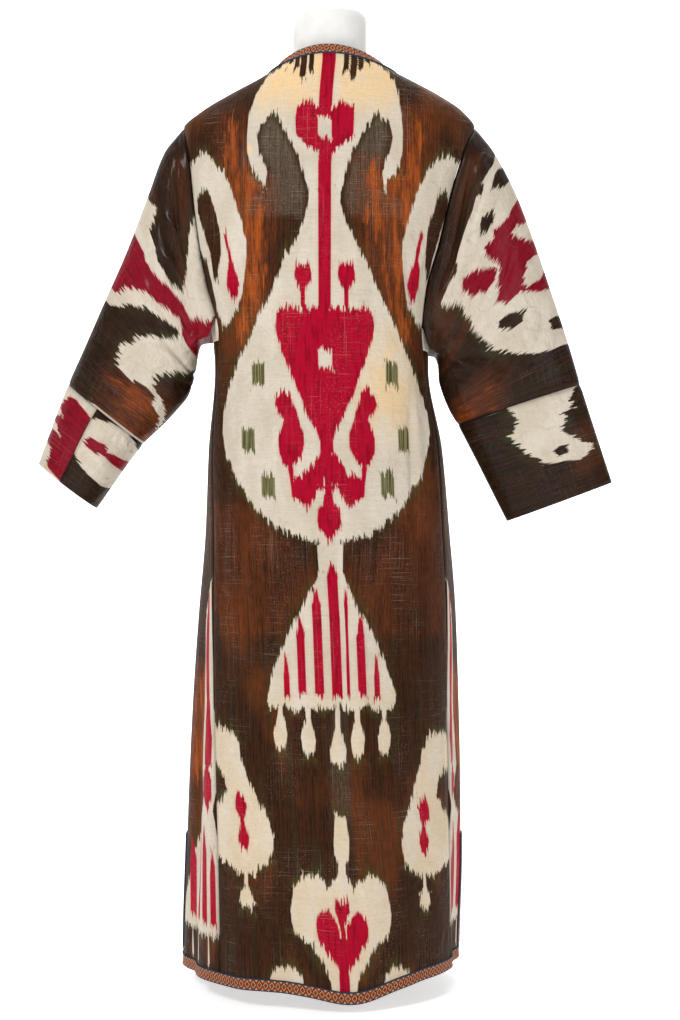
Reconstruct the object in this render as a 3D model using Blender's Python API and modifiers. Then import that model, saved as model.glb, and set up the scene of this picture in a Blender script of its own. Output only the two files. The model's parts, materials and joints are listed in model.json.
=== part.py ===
"""An ikat chapan robe on a limbless dress form, as solids in metres, +Z up.

The robe's front faces -Y and its back +Y, so +X is its left side. The origin is on the floor,
in the middle of the stand's round base. The robe is cut as a chapan is: one loom width for the
back and half a width for each front, wedge-shaped gores let in at the sides, a gusset under
each arm, straight sleeves one loom width long with a shorter piece sewn on at the wrist, and a
woven braid along the neck, the front edges, the hem and the side slits.
"""

import bmesh
import bpy
import numpy as np

# Driving sizes, in metres.
LOOM_WIDTH = 0.395
CLOTH_WALL = 0.0020
SEAM_GAP = 0.0004
BRAID_WIDTH = 0.017
BRAID_WALL = 0.0012
BRAID_LIFT = 0.0006
NECK_LEVEL = 1.308
NECK_RISE = 0.020
NECK_BRAID_FALL = 0.0135
SHOULDER_TIP = 1.222
HEM_LEVEL = 0.026
HEM_DIP = 0.014
HEM_DIP_WIDTH = 0.050
HEM_RISE_RIGHT = 0.007
SLIT_TOP = 0.215
SLIT_GAP_AT_HEM = 0.009
GUSSET_HEIGHT = 0.032
GUSSET_DROP = 0.0016
HALF_LOOM = LOOM_WIDTH / 2
HALF_GAP = SEAM_GAP / 2

LEFT, RIGHT = 1, -1
SIDES = {"left": LEFT, "right": RIGHT}
ARMHOLE_BOTTOM = {LEFT: 0.944, RIGHT: 0.930}
SEAM_DRIFT_HEIGHT = 0.10

# Outline of the robe's body at each height: how far it reaches to its left, right, back and
# front, how far the middle of the back panel is turned towards the left, and how square its
# outline is (2 is an ellipse).
BODY_COLUMNS = ("height", "left", "right", "back", "front", "turn", "square")
BODY = (
    (0.000, 0.2065, 0.1860, 0.2170, 0.2010, -0.0350, 2.00),
    (0.070, 0.2060, 0.1875, 0.2140, 0.1990, -0.0320, 2.00),
    (0.184, 0.2025, 0.1905, 0.2060, 0.1940, -0.0270, 2.00),
    (0.299, 0.1985, 0.1900, 0.1960, 0.1880, -0.0205, 2.00),
    (0.414, 0.1930, 0.1875, 0.1850, 0.1810, -0.0140, 2.00),
    (0.529, 0.1850, 0.1835, 0.1720, 0.1730, -0.0080, 2.05),
    (0.644, 0.1755, 0.1745, 0.1580, 0.1650, -0.0020, 2.10),
    (0.759, 0.1710, 0.1640, 0.1440, 0.1570, 0.0040, 2.20),
    (0.874, 0.1620, 0.1440, 0.1320, 0.1500, 0.0075, 2.30),
    (0.960, 0.1720, 0.1460, 0.1260, 0.1450, 0.0075, 2.45),
    (1.060, 0.1930, 0.1680, 0.1210, 0.1370, 0.0075, 2.55),
    (1.150, 0.2040, 0.1930, 0.1120, 0.1130, 0.0070, 2.50),
    (1.200, 0.2110, 0.2110, 0.1030, 0.0920, 0.0050, 2.30),
    (1.219, 0.2080, 0.2110, 0.0990, 0.0830, 0.0040, 2.20),
    (1.242, 0.1830, 0.1950, 0.0930, 0.0720, 0.0040, 2.10),
    (1.265, 0.1450, 0.1620, 0.0860, 0.0640, 0.0030, 2.00),
    (1.288, 0.0990, 0.1170, 0.0760, 0.0580, 0.0020, 2.00),
    (1.300, 0.0790, 0.0905, 0.0690, 0.0550, 0.0010, 2.00),
    (1.312, 0.0660, 0.0740, 0.0620, 0.0530, 0.0000, 2.00),
)

# Where the armhole's edges lie, sideways from the middle, on the left and on the right.
ARMHOLE_COLUMNS = ("height", "left", "right")
ARMHOLE = (
    (0.790, 0.1500, 0.1320),
    (0.915, 0.1530, 0.1330),
    (0.980, 0.1690, 0.1390),
    (1.050, 0.1830, 0.1580),
    (1.110, 0.1910, 0.1720),
    (1.160, 0.1960, 0.1860),
    (1.200, 0.2030, 0.2010),
    (1.219, 0.2070, 0.2100),
    (1.242, 0.1830, 0.1950),
)

# Each front's free edge: its distance from the middle of the front, measured round the body.
FRONT_EDGE_COLUMNS = ("height", "from_middle")
FRONT_EDGE = (
    (0.000, 0.0160),
    (0.300, 0.0110),
    (0.700, 0.0070),
    (1.080, 0.0060),
    (1.120, 0.0090),
    (1.160, 0.0170),
    (1.200, 0.0280),
    (1.240, 0.0420),
    (1.270, 0.0560),
    (1.295, 0.0740),
    (1.310, 0.0900),
)
NARROWEST_FRONT = 0.004

# Soft folds: where each lies round the body, how far it leans, its half width, how far it
# stands out (or in, if negative), and the heights that it fades out between.
FOLD_COLUMNS = ("around", "lean", "half_width", "depth", "low", "high")
FOLDS = (
    (-0.034, -0.020, 0.010, -0.0035, 0.300, 0.660),
    (-0.060, -0.030, 0.022, 0.0030, 0.000, 0.700),
    (0.070, 0.020, 0.026, -0.0035, -0.200, 0.420),
    (0.125, 0.040, 0.022, 0.0040, -0.200, 0.560),
    (0.255, 0.060, 0.026, -0.0090, -0.300, 0.720),
    (0.390, 0.050, 0.028, -0.0100, -0.300, 0.680),
    (0.520, 0.020, 0.026, 0.0050, -0.300, 0.800),
    (-0.150, -0.040, 0.022, -0.0030, -0.200, 0.500),
    (-0.270, -0.060, 0.026, -0.0080, -0.300, 0.720),
    (-0.400, -0.050, 0.028, -0.0100, -0.300, 0.680),
    (-0.530, -0.020, 0.026, 0.0050, -0.300, 0.800),
)

# A sleeve's cross sections: how far along it each lies, its outer and inner edge, half its
# thickness, and how far back its middle lies.
SLEEVE_COLUMNS = ("along", "outer_x", "outer_z", "inner_x", "inner_z", "half_thick", "middle_y")
SLEEVES = {
    LEFT: (
        (0.00, 0.2060, 1.2220, 0.1660, 0.9440, 0.060, 0.000),
        (0.035, 0.2155, 1.2100, 0.1755, 0.9120, 0.057, 0.001),
        (0.10, 0.2330, 1.1880, 0.1800, 0.9090, 0.053, 0.002),
        (0.25, 0.2580, 1.1250, 0.1860, 0.8940, 0.049, 0.001),
        (0.42, 0.2890, 1.0450, 0.1910, 0.8680, 0.048, -0.002),
        (0.58, 0.3250, 0.9650, 0.2000, 0.8400, 0.050, -0.007),
        (0.70, 0.3540, 0.9000, 0.2290, 0.8050, 0.051, -0.012),
        (0.78, 0.3750, 0.8540, 0.2670, 0.7680, 0.051, -0.016),
        (1.00, 0.4190, 0.7410, 0.3350, 0.6760, 0.049, -0.026),
    ),
    RIGHT: (
        (0.00, 0.2095, 1.2220, 0.1440, 0.9300, 0.060, 0.000),
        (0.035, 0.2185, 1.2110, 0.1530, 0.8930, 0.057, 0.001),
        (0.10, 0.2350, 1.1900, 0.1550, 0.8880, 0.052, 0.002),
        (0.25, 0.2680, 1.1300, 0.1580, 0.8760, 0.048, 0.002),
        (0.42, 0.2950, 1.0610, 0.1590, 0.8600, 0.047, 0.000),
        (0.58, 0.3200, 0.9890, 0.1640, 0.8420, 0.044, -0.003),
        (0.70, 0.3450, 0.9160, 0.1740, 0.8180, 0.040, -0.008),
        (0.78, 0.3640, 0.8540, 0.1870, 0.7960, 0.036, -0.012),
        (1.00, 0.4110, 0.7130, 0.2590, 0.6570, 0.025, -0.024),
    ),
}
WRIST_SEAM = 0.78
SLEEVE_LENGTH = 0.45
MOUTH_BLEND = 0.34
PATCH_SPAN = (0.74, 1.22)
CORNER_ROOM = 1.5

# The rows and columns of the panels' grids. Braid lies on whole rows and columns of them.
SLEEVE_ROWS = (0.0, 0.025, 0.07, 0.14, 0.22, 0.31, 0.41, 0.51, 0.61, 0.70)
WRIST_ROWS = (0.85, 0.92, 1.0)
SKIRT_ROWS = (0.095, 0.155, SLIT_TOP, 0.290, 0.370, 0.450, 0.530, 0.610, 0.690, 0.765, 0.820, 0.862)
ARM_ROWS = (0.945, 0.980, 1.015, 1.055, 1.095, 1.130, 1.163, 1.190, 1.209, SHOULDER_TIP)
SHOULDER_ROWS = (1.232, 1.244, 1.257, 1.271, 1.284, NECK_LEVEL - NECK_BRAID_FALL, NECK_LEVEL)
BACK_COLUMNS = 22
FRONT_COLUMNS = 8
GORE_COLUMNS = 5
GUSSET_COLUMNS = 6

# The dress form's outline at each height below its shoulders.
FORM_COLUMNS = ("height", "half_width", "back", "front")
FORM = (
    (0.600, 0.120, 0.082, 0.074),
    (0.604, 0.130, 0.092, 0.084),
    (0.620, 0.139, 0.100, 0.091),
    (0.720, 0.148, 0.110, 0.098),
    (0.820, 0.134, 0.096, 0.090),
    (0.900, 0.118, 0.082, 0.086),
    (0.960, 0.119, 0.082, 0.092),
    (1.020, 0.129, 0.090, 0.108),
    (1.070, 0.137, 0.097, 0.118),
    (1.130, 0.146, 0.100, 0.102),
    (1.170, 0.160, 0.096, 0.084),
    (1.200, 0.177, 0.090, 0.074),
    (1.222, 0.187, 0.088, 0.068),
)
FORM_ROWS = (0.600, 0.604, 0.620, 0.665, 0.720, 0.780, 0.835, 0.885, 0.930, 0.975, 1.020, 1.055, 1.090)
FORM_TOP_ROWS = (1.125, 1.160, 1.190, 1.210, 1.226)
FORM_SHOULDER_ROWS = (1.244, 1.257, 1.271, 1.284, 1.2935)
FORM_CLEARANCE = 0.0013
FORM_SIDES = 32
FORM_NECK = ((1.304, 0.0580), (1.316, 0.0540), (1.334, 0.0525), (1.372, 0.0525), (1.380, 0.0509))
FORM_CROWN = ((1.3845, 0.0472), (1.386, 0.0420))
NECK_CENTRE_X = -0.0025

# The stand under the form.
BASE_RADIUS = 0.115
BASE_HEIGHT = 0.008
BASE_BEVEL = 0.003
BASE_SIDES = 36
POLE_RADIUS = 0.0125
POLE_SIDES = 24
REST_GAP = 0.0003

RING_STEPS = 720
TINY = 1e-5

COLOURS = {
    "ikat": ((0.16, 0.085, 0.045), 0.45, 0.0),
    "gusset cloth": ((0.62, 0.55, 0.45), 0.55, 0.0),
    "braid": ((0.55, 0.17, 0.05), 0.8, 0.0),
    "form cloth": ((0.86, 0.85, 0.83), 0.85, 0.0),
    "steel": ((0.55, 0.55, 0.56), 0.3, 1.0),
}


def clear_scene():
    for thing in list(bpy.data.objects):
        bpy.data.objects.remove(thing)
    collection = bpy.data.collections.new("chapan on dress form")
    bpy.context.scene.collection.children.link(collection)
    return collection


def make_material(name):
    colour, roughness, metallic = COLOURS[name]
    material = bpy.data.materials.new(name)
    material.use_nodes = True
    shader = material.node_tree.nodes["Principled BSDF"]
    shader.inputs["Base Color"].default_value = (*colour, 1.0)
    shader.inputs["Roughness"].default_value = roughness
    shader.inputs["Metallic"].default_value = metallic
    return material


def column(table, columns, name):
    return np.array([row[columns.index(name)] for row in table], float)


def curve_through(keys, values, at):
    """A smooth curve through a table's rows. Between two rows it is a cubic, and its slope at a
    row is the harmonic mean of the slopes on both sides, so that it never overshoots."""
    at = np.clip(np.asarray(at, float), keys[0], keys[-1])
    step = np.diff(keys)
    rise = np.diff(values) / step
    slope = np.zeros(len(keys))
    rising = rise[:-1] * rise[1:] > 0
    safe = np.where(rising, rise[:-1] + rise[1:], 1.0)
    slope[1:-1] = np.where(rising, 2 * rise[:-1] * rise[1:] / safe, 0.0)
    slope[0], slope[-1] = rise[0], rise[-1]
    i = np.clip(np.searchsorted(keys, at, side="right") - 1, 0, len(step) - 1)
    t = (at - keys[i]) / step[i]
    start = values[i] * (1 + 2 * t) * (1 - t) ** 2 + slope[i] * step[i] * t * (1 - t) ** 2
    end = values[i + 1] * t * t * (3 - 2 * t) + slope[i + 1] * step[i] * t * t * (t - 1)
    return start + end


def read_table(table, columns, name, at):
    return curve_through(column(table, columns, columns[0]), column(table, columns, name), at)


def body_at(name, level):
    return read_table(BODY, BODY_COLUMNS, name, level)


def smooth_step(low, high, value):
    t = np.clip((value - low) / (high - low), 0, 1)
    return t * t * (3 - 2 * t)


def unit(vectors):
    return vectors / np.linalg.norm(vectors, axis=-1, keepdims=True)


def rings(level):
    """Outlines at the given levels, one per row: each point's x and y, and its distance round
    the outline from the middle of the back, counted positive towards the robe's left."""
    angle = np.linspace(-np.pi, np.pi, RING_STEPS + 1)[None, :]
    level = np.asarray(level, float).reshape(-1, 1)
    reach_x = np.where(angle > 0, body_at("left", level), body_at("right", level))
    reach_y = np.where(np.cos(angle) > 0, body_at("back", level), body_at("front", level))
    power = 2 / body_at("square", level)
    x = reach_x * np.sign(np.sin(angle)) * np.abs(np.sin(angle)) ** power
    y = reach_y * np.sign(np.cos(angle)) * np.abs(np.cos(angle)) ** power
    pieces = np.hypot(np.diff(x, axis=1), np.diff(y, axis=1))
    around = np.concatenate([np.zeros((len(level), 1)), np.cumsum(pieces, axis=1)], axis=1)
    return x, y, around - around[:, RING_STEPS // 2 : RING_STEPS // 2 + 1]


def fold_depth(level, around):
    """How far the folds move the cloth out of the plain outline."""
    total = np.zeros(np.broadcast(level, around).shape)
    for at, lean, half_width, depth, low, high in FOLDS:
        middle = at + lean * (HEM_LEVEL - level)
        fade = smooth_step(high, (low + high) / 2, level) * smooth_step(low, low + 0.1, level)
        total = total + depth * fade * np.exp(-(((around - middle) / half_width) ** 2))
    return total


def hem_shift(level, around):
    """The hem dips at the middle of the back and rises a little on the right; this fades out
    upwards."""
    dip = HEM_DIP * np.exp(-(((around - body_at("turn", level)) / HEM_DIP_WIDTH) ** 2))
    rise = HEM_RISE_RIGHT * smooth_step(-0.05, -0.20, around)
    return (rise - dip) * smooth_step(SLIT_TOP, HEM_LEVEL, level)


def neck_shift(level, around):
    """The cloth stands up at the back of the neck; this fades out towards the shoulders."""
    quarter = np.where(around > 0, body_at("left", level), body_at("right", level)) + body_at("back", level)
    share = np.clip(np.abs(around) / (0.78 * quarter), 0, 1)
    return NECK_RISE * smooth_step(1.20, NECK_LEVEL, level) * np.cos(share * np.pi / 2) ** 2


def place(level, around):
    """Points of the robe's outer surface at these levels and distances round the body."""
    level, around = np.broadcast_arrays(np.asarray(level, float), np.asarray(around, float))
    flat_level, flat_around = level.ravel(), around.ravel()
    rows, index = np.unique(flat_level, return_inverse=True)
    ring_x, ring_y, ring_around = rings(rows)
    x, y = np.empty(flat_level.size), np.empty(flat_level.size)
    for row in range(len(rows)):
        at = index == row
        x[at] = np.interp(flat_around[at], ring_around[row], ring_x[row])
        y[at] = np.interp(flat_around[at], ring_around[row], ring_y[row])
    scale = 1 + fold_depth(flat_level, flat_around) / np.hypot(x, y)
    z = flat_level + hem_shift(flat_level, flat_around) + neck_shift(flat_level, flat_around)
    return np.stack([x * scale, y * scale, z], axis=1).reshape(*level.shape, 3)


def slopes(level, around):
    """How the surface moves for each metre of level and of distance round the body."""
    step = 0.002
    up = (place(level + step, around) - place(level - step, around)) / (2 * step)
    across = (place(level, around + step) - place(level, around - step)) / (2 * step)
    return up, across


def outward(level, around):
    up, across = slopes(level, around)
    return unit(np.cross(up, across))


def side_arc(level, side):
    """Distance round the body from the middle of the back to its widest point on one side."""
    return side * rings(level)[2][:, RING_STEPS // 2 + side * RING_STEPS // 4]


def half_round(level, side):
    """Distance round the body from the middle of the back to the middle of the front."""
    return np.abs(rings(level)[2][:, -1 if side == LEFT else 0])


def armhole_arc(level, side, at_back):
    """Distance round the body to the armhole's edge, on the back or on the front."""
    reach = read_table(ARMHOLE, ARMHOLE_COLUMNS, "left" if side == LEFT else "right", level)
    ring_x, ring_y, ring_around = rings(level)
    arcs = np.empty(len(ring_x))
    for row in range(len(arcs)):
        half = (side * ring_x[row] >= 0) & ((ring_y[row] >= 0) == at_back)
        order = np.argsort(np.abs(ring_x[row][half]))
        sideways = np.abs(ring_x[row][half])[order]
        arcs[row] = np.interp(reach[row], sideways, np.abs(ring_around[row][half])[order])
    return arcs


def seam_arc(level, side, at_back):
    """Distance round the body to a panel's outer edge: half a loom width from the middle below
    the arm, the armhole's edge beside it, and the shoulder line above it."""
    level = np.atleast_1d(np.asarray(level, float))
    half = half_round(level, side)
    straight = HALF_LOOM + side * body_at("turn", level) if at_back else half - HALF_LOOM
    share = smooth_step(ARMHOLE_BOTTOM[side] - SEAM_DRIFT_HEIGHT, ARMHOLE_BOTTOM[side], level)
    seam = straight * (1 - share) + armhole_arc(level, side, at_back) * share
    return np.where(level >= SHOULDER_TIP, side_arc(level, side), seam)


def back_seam(level, side):
    return seam_arc(level, side, True)


def front_seam(level, side):
    return seam_arc(level, side, False)


def front_edge(level, side):
    from_middle = read_table(FRONT_EDGE, FRONT_EDGE_COLUMNS, "from_middle", level)
    edge = half_round(level, side) - from_middle
    return np.maximum(edge, front_seam(level, side) + BRAID_WIDTH + NARROWEST_FRONT)


def front_braid_reach(level, side):
    """How far round the body the braid reaches in from a front edge, so that it measures its
    width square to the edge where that slopes."""
    edge = front_edge(level, side)
    across = slopes(level, side * edge)[1]
    line = unit(np.gradient(place(level, side * edge), axis=0))
    slant = np.linalg.norm(np.cross(line, unit(across)), axis=1)
    room = edge - front_seam(level, side) - NARROWEST_FRONT
    return np.minimum(BRAID_WIDTH / slant, room)


def slit_gap(level):
    """Half the width of the side seam: a slit that widens from its top down to the hem."""
    opening = SLIT_GAP_AT_HEM / 2 * smooth_step(SLIT_TOP, HEM_LEVEL, level)
    return np.maximum(opening, HALF_GAP)


def spread(start, end, count):
    """Rows of evenly spaced values from start to end."""
    share = np.linspace(0, 1, count + 1)[None, :]
    return start[:, None] * (1 - share) + end[:, None] * share


def back_arcs(levels):
    """Distances round the body of the back panel's columns."""
    return spread(HALF_GAP - back_seam(levels, RIGHT), back_seam(levels, LEFT) - HALF_GAP, BACK_COLUMNS)


def front_arcs(levels, side):
    """The same for a front: even columns up to the braid, and one more at the free edge."""
    edge = front_edge(levels, side)
    braid_edge = edge - front_braid_reach(levels, side)
    arcs = spread(front_seam(levels, side) + HALF_GAP, braid_edge, FRONT_COLUMNS)
    return side * np.concatenate([arcs, edge[:, None]], axis=1)


def gore_arcs(levels, side, at_back):
    """The same for half a gore, from its seam to the side slit."""
    way = -1 if at_back else 1
    edge = side_arc(levels, side) + way * slit_gap(levels)
    seam = back_seam(levels, side) + HALF_GAP if at_back else front_seam(levels, side) - HALF_GAP
    arcs = spread(seam, edge + way * BRAID_WIDTH, GORE_COLUMNS)
    return side * np.concatenate([arcs, edge[:, None]], axis=1)


def grid_faces(rows, columns, closed):
    """Corner numbers of the triangles of a grid of points, two to a square, all cut one way."""
    row, col = np.meshgrid(np.arange(rows - 1), np.arange(columns if closed else columns - 1), indexing="ij")
    here = row * columns + col
    beside = row * columns + (col + 1) % columns
    first = np.stack([here, beside, beside + columns]).reshape(3, -1).T
    second = np.stack([here, beside + columns, here + columns]).reshape(3, -1).T
    return np.concatenate([first, second])


def make_object(name, points, faces, material, collection):
    mesh = bpy.data.meshes.new(name)
    mesh.from_pydata([tuple(p) for p in points], [], [tuple(int(i) for i in f) for f in faces])
    shape = bmesh.new()
    shape.from_mesh(mesh)
    bmesh.ops.recalc_face_normals(shape, faces=shape.faces)
    shape.to_mesh(mesh)
    shape.free()
    mesh.materials.append(material)
    mesh.shade_smooth()
    mesh.set_sharp_from_angle(angle=np.radians(50))
    thing = bpy.data.objects.new(name, mesh)
    collection.objects.link(thing)
    return thing


def make_wall(name, outer, inner, closed, material, collection):
    """A solid wall between two grids of points. The grid's ends, and its sides unless it closes
    on itself, are joined by a rim."""
    rows, columns = outer.shape[:2]
    count = rows * columns
    skin = grid_faces(rows, columns, closed)
    number = np.arange(count).reshape(rows, columns)
    borders = [number[0], number[-1][::-1]]
    if not closed:
        borders += [number[:, -1], number[:, 0][::-1]]
    rims = []
    for border in borders:
        follow = np.roll(border, -1) if closed else border[1:]
        start = border if closed else border[:-1]
        rims.append(np.stack([start, start + count, follow + count], axis=1))
        rims.append(np.stack([start, follow + count, follow], axis=1))
    faces = np.concatenate([skin, skin[:, ::-1] + count, *rims])
    points = np.concatenate([outer.reshape(-1, 3), inner.reshape(-1, 3)])
    return make_object(name, points, faces, material, collection)


def make_panel(name, levels, arcs, material, collection):
    """A cut piece of the robe's body: its part of the outer surface, and the same points moved
    in by the wall."""
    level = np.repeat(np.asarray(levels, float)[:, None], arcs.shape[1], axis=1)
    outer = place(level, arcs)
    make_wall(name, outer, outer - CLOTH_WALL * outward(level, arcs), False, material, collection)


def make_braid(name, levels, arcs, material, collection):
    """A strip of braid lying on the robe's outer surface."""
    level = np.repeat(np.asarray(levels, float)[:, None], arcs.shape[1], axis=1)
    skin = place(level, arcs)
    out = outward(level, arcs)
    low = skin + BRAID_LIFT * out
    make_wall(name, low + BRAID_WALL * out, low, False, material, collection)


def make_body(cloth, gusset_cloth, collection):
    gusset_rows = sorted({low - drop for low in ARMHOLE_BOTTOM.values() for drop in (0, 0.021, GUSSET_HEIGHT)})
    rows = [HEM_LEVEL, HEM_LEVEL + BRAID_WIDTH, *SKIRT_ROWS, *gusset_rows, *ARM_ROWS, *SHOULDER_ROWS]
    levels = np.array([r for i, r in enumerate(rows) if i == 0 or r - rows[i - 1] > 0.002])
    make_panel("back", levels, back_arcs(levels), cloth, collection)
    for name, side in SIDES.items():
        make_panel(f"front_{name}", levels, front_arcs(levels, side), cloth, collection)
        top = ARMHOLE_BOTTOM[side]
        low = top - GUSSET_HEIGHT
        inside = levels[(levels > low + TINY) & (levels < top - TINY)]
        # The sleeve falls close beside the gusset, so the gusset stops a little lower than its seam.
        gusset = np.array([low + HALF_GAP, *inside, top - GUSSET_DROP])
        start, end = back_seam(gusset, side) + SEAM_GAP, front_seam(gusset, side) - SEAM_GAP
        make_panel(f"gusset_{name}", gusset, side * spread(start, end, GUSSET_COLUMNS), gusset_cloth, collection)
        gore = np.array([*levels[levels < low - TINY], low - HALF_GAP])
        make_panel(f"gore_back_{name}", gore, gore_arcs(gore, side, True), cloth, collection)
        make_panel(f"gore_front_{name}", gore, gore_arcs(gore, side, False), cloth, collection)
    return levels


def make_braids(levels, braid, collection):
    """The braid: round the neck and down both front edges, along the hem, and up the slits."""
    hem = levels[:2]
    slit = np.array([hem[1] + SEAM_GAP, *levels[(levels > hem[1] + TINY) & (levels < SLIT_TOP + TINY)]])
    back = back_arcs(hem)
    right_gore = gore_arcs(hem, RIGHT, True)[:, ::-1]
    left_gore = gore_arcs(hem, LEFT, True)
    right_gore[:, -1] = -back_seam(hem, RIGHT)
    left_gore[:, 0] = back_seam(hem, LEFT)
    arcs = np.concatenate([right_gore, back[:, 1:-1], left_gore], axis=1)
    make_braid("braid_hem_back", hem, arcs, braid, collection)
    make_braid("braid_neck", levels[-2:], back_arcs(levels[-2:]), braid, collection)
    for name, side in SIDES.items():
        front = front_arcs(levels, side)
        make_braid(f"braid_front_{name}", levels, front[:, -2:], braid, collection)
        for part, at_back in (("back", True), ("front", False)):
            make_braid(f"braid_slit_{part}_{name}", slit, gore_arcs(slit, side, at_back)[:, -2:], braid, collection)
        gore = gore_arcs(hem, side, False)[:, ::-1]
        gore[:, -1] = side * front_seam(hem, side)
        along = front[:2, 1:-1].copy()
        along[:, -1] -= side * SEAM_GAP
        make_braid(f"braid_hem_{name}", hem, np.concatenate([gore, along], axis=1), braid, collection)


def mouth_of(levels, side):
    """The sleeve's first ring, from the shoulder tip down the back edge of the armhole, across
    the gusset's top and up the front edge. Gives points just clear of those edges, the body's
    outward direction there, and the direction away from the panels along their surface."""
    low = ARMHOLE_BOTTOM[side]
    rows = levels[(levels > low + TINY) & (levels < SHOULDER_TIP - TINY)]
    start, end = back_seam(low, side), front_seam(low, side)
    floor = spread(start, end, GUSSET_COLUMNS)[0]
    level = np.concatenate([[SHOULDER_TIP], rows[::-1], np.full(len(floor), low), rows])
    arcs = np.concatenate([side_arc(SHOULDER_TIP, side), back_seam(rows, side)[::-1], floor, front_seam(rows, side)])
    line = place(level, side * arcs)
    body_out = outward(level, side * arcs)
    tangent = unit(unit(np.roll(line, -1, axis=0) - line) + unit(line - np.roll(line, 1, axis=0)))
    away = side * unit(np.cross(tangent, body_out))
    room = np.full(len(level), HALF_GAP)
    room[[0, len(rows) + 1, len(rows) + len(floor)]] *= CORNER_ROOM
    return line + room[:, None] * away, body_out, away


def sleeve_sections(side, along, shares):
    """Points round the sleeve at each distance along it: ellipses between its outer and inner
    edge. Each point lies at the given share of the way round."""
    value = {n: read_table(SLEEVES[side], SLEEVE_COLUMNS, n, along) for n in SLEEVE_COLUMNS[1:]}
    outer = np.stack([side * value["outer_x"], value["middle_y"], value["outer_z"]], axis=1)
    inner = np.stack([side * value["inner_x"], value["middle_y"], value["inner_z"]], axis=1)
    half = (outer - inner) / 2
    angle = np.linspace(0, 2 * np.pi, RING_STEPS + 1)
    sections = []
    for row in range(len(along)):
        wide = np.linalg.norm(half[row]) * np.cos(angle)
        deep = value["half_thick"][row] * np.sin(angle)
        length = np.concatenate([[0], np.cumsum(np.hypot(np.diff(wide), np.diff(deep)))])
        at = shares * length[-1]
        middle = (outer[row] + inner[row]) / 2
        ring = middle + np.interp(at, length, np.cos(angle))[:, None] * half[row]
        ring[:, 1] += np.interp(at, length, deep)
        sections.append(ring)
    return np.array(sections)


def sleeve_walls(levels, side, along):
    """Outer and inner points of a sleeve. It leaves the armhole's own line and turns into the
    plain sections a little further on."""
    mouth, body_out, away = mouth_of(levels, side)
    step = np.linalg.norm(np.roll(mouth, -1, axis=0) - mouth, axis=1)
    shares = np.concatenate([[0], np.cumsum(step)[:-1]]) / step.sum()
    grid = sleeve_sections(side, along, shares)
    share = smooth_step(0, MOUTH_BLEND, along)[:, None, None]
    grid = (mouth + grid - grid[0]) * (1 - share) + grid * share
    lengthwise = np.gradient(grid, along, axis=0)
    crosswise = np.roll(grid, -1, axis=1) - np.roll(grid, 1, axis=1)
    normal = unit(np.cross(lengthwise, crosswise)) * side
    towards_panel = np.maximum(np.sum(normal[0] * away, axis=1, keepdims=True), 0)
    normal[0] = unit(normal[0] - towards_panel * away)
    return grid, grid - CLOTH_WALL * normal, shares


def make_sleeve(levels, name, side, cloth, collection):
    """A sleeve and its wrist piece. The left one's is joined from two pieces."""
    gap_share = HALF_GAP / SLEEVE_LENGTH
    upper = np.array([*SLEEVE_ROWS, WRIST_SEAM - gap_share])
    along = np.array([*upper, WRIST_SEAM + gap_share, *WRIST_ROWS])
    outer, inner, shares = sleeve_walls(levels, side, along)
    cut = len(upper)
    make_wall(f"sleeve_{name}", outer[:cut], inner[:cut], True, cloth, collection)
    wrist_outer, wrist_inner = outer[cut:], inner[cut:]
    if side == RIGHT:
        make_wall(f"sleeve_{name}_wrist", wrist_outer, wrist_inner, True, cloth, collection)
        return
    first, last = np.searchsorted(shares, PATCH_SPAN[0]), np.searchsorted(shares, PATCH_SPAN[1] - 1)
    sides = len(shares)
    for part, columns in (
        ("patch", np.arange(first, last + sides + 1) % sides),
        ("wrist", np.arange(last, first + 1)),
    ):
        grids = [wrist_outer[:, columns].copy(), wrist_inner[:, columns].copy()]
        for grid in grids:
            for edge, beside in ((0, 1), (-1, -2)):
                grid[:, edge] += HALF_GAP * unit(grid[:, beside] - grid[:, edge])
        make_wall(f"sleeve_{name}_{part}", *grids, False, cloth, collection)


def form_shoulder(level):
    """The dress form at a level of the shoulders: the robe's surface, moved in."""
    angle = np.linspace(0, 2 * np.pi, FORM_SIDES, endpoint=False)
    ring_angle = np.linspace(-np.pi, np.pi, RING_STEPS + 1)
    turned = np.where(angle > np.pi, angle - 2 * np.pi, angle)
    arcs = np.interp(turned, ring_angle, rings(level)[2][0])
    levels = np.full(FORM_SIDES, level)
    return place(levels, arcs) - (CLOTH_WALL + FORM_CLEARANCE) * outward(levels, arcs)


def make_form(form_cloth, collection):
    """The padded torso and its neck, in one closed loft."""
    angle = np.linspace(0, 2 * np.pi, FORM_SIDES, endpoint=False)
    sine, cosine = np.sin(angle), np.cos(angle)
    sections = []
    for level in (*FORM_ROWS, *FORM_TOP_ROWS):
        value = {n: read_table(FORM, FORM_COLUMNS, n, level) for n in FORM_COLUMNS[1:]}
        depth = np.where(cosine > 0, value["back"], value["front"])
        sections.append(np.stack([value["half_width"] * sine, depth * cosine, np.full(FORM_SIDES, level)], axis=1))
    sections += [form_shoulder(level) for level in FORM_SHOULDER_ROWS]
    for level, radius in (*FORM_NECK, *FORM_CROWN):
        ring = np.stack([NECK_CENTRE_X + radius * sine, radius * cosine, np.full(FORM_SIDES, level)], axis=1)
        sections.append(ring)
    grid = np.array(sections)
    faces = [list(f) for f in grid_faces(len(grid), FORM_SIDES, True)]
    faces.append(list(range(FORM_SIDES)))
    faces.append([(len(grid) - 1) * FORM_SIDES + i for i in range(FORM_SIDES)])
    make_object("dress_form", grid.reshape(-1, 3), faces, form_cloth, collection)


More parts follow.
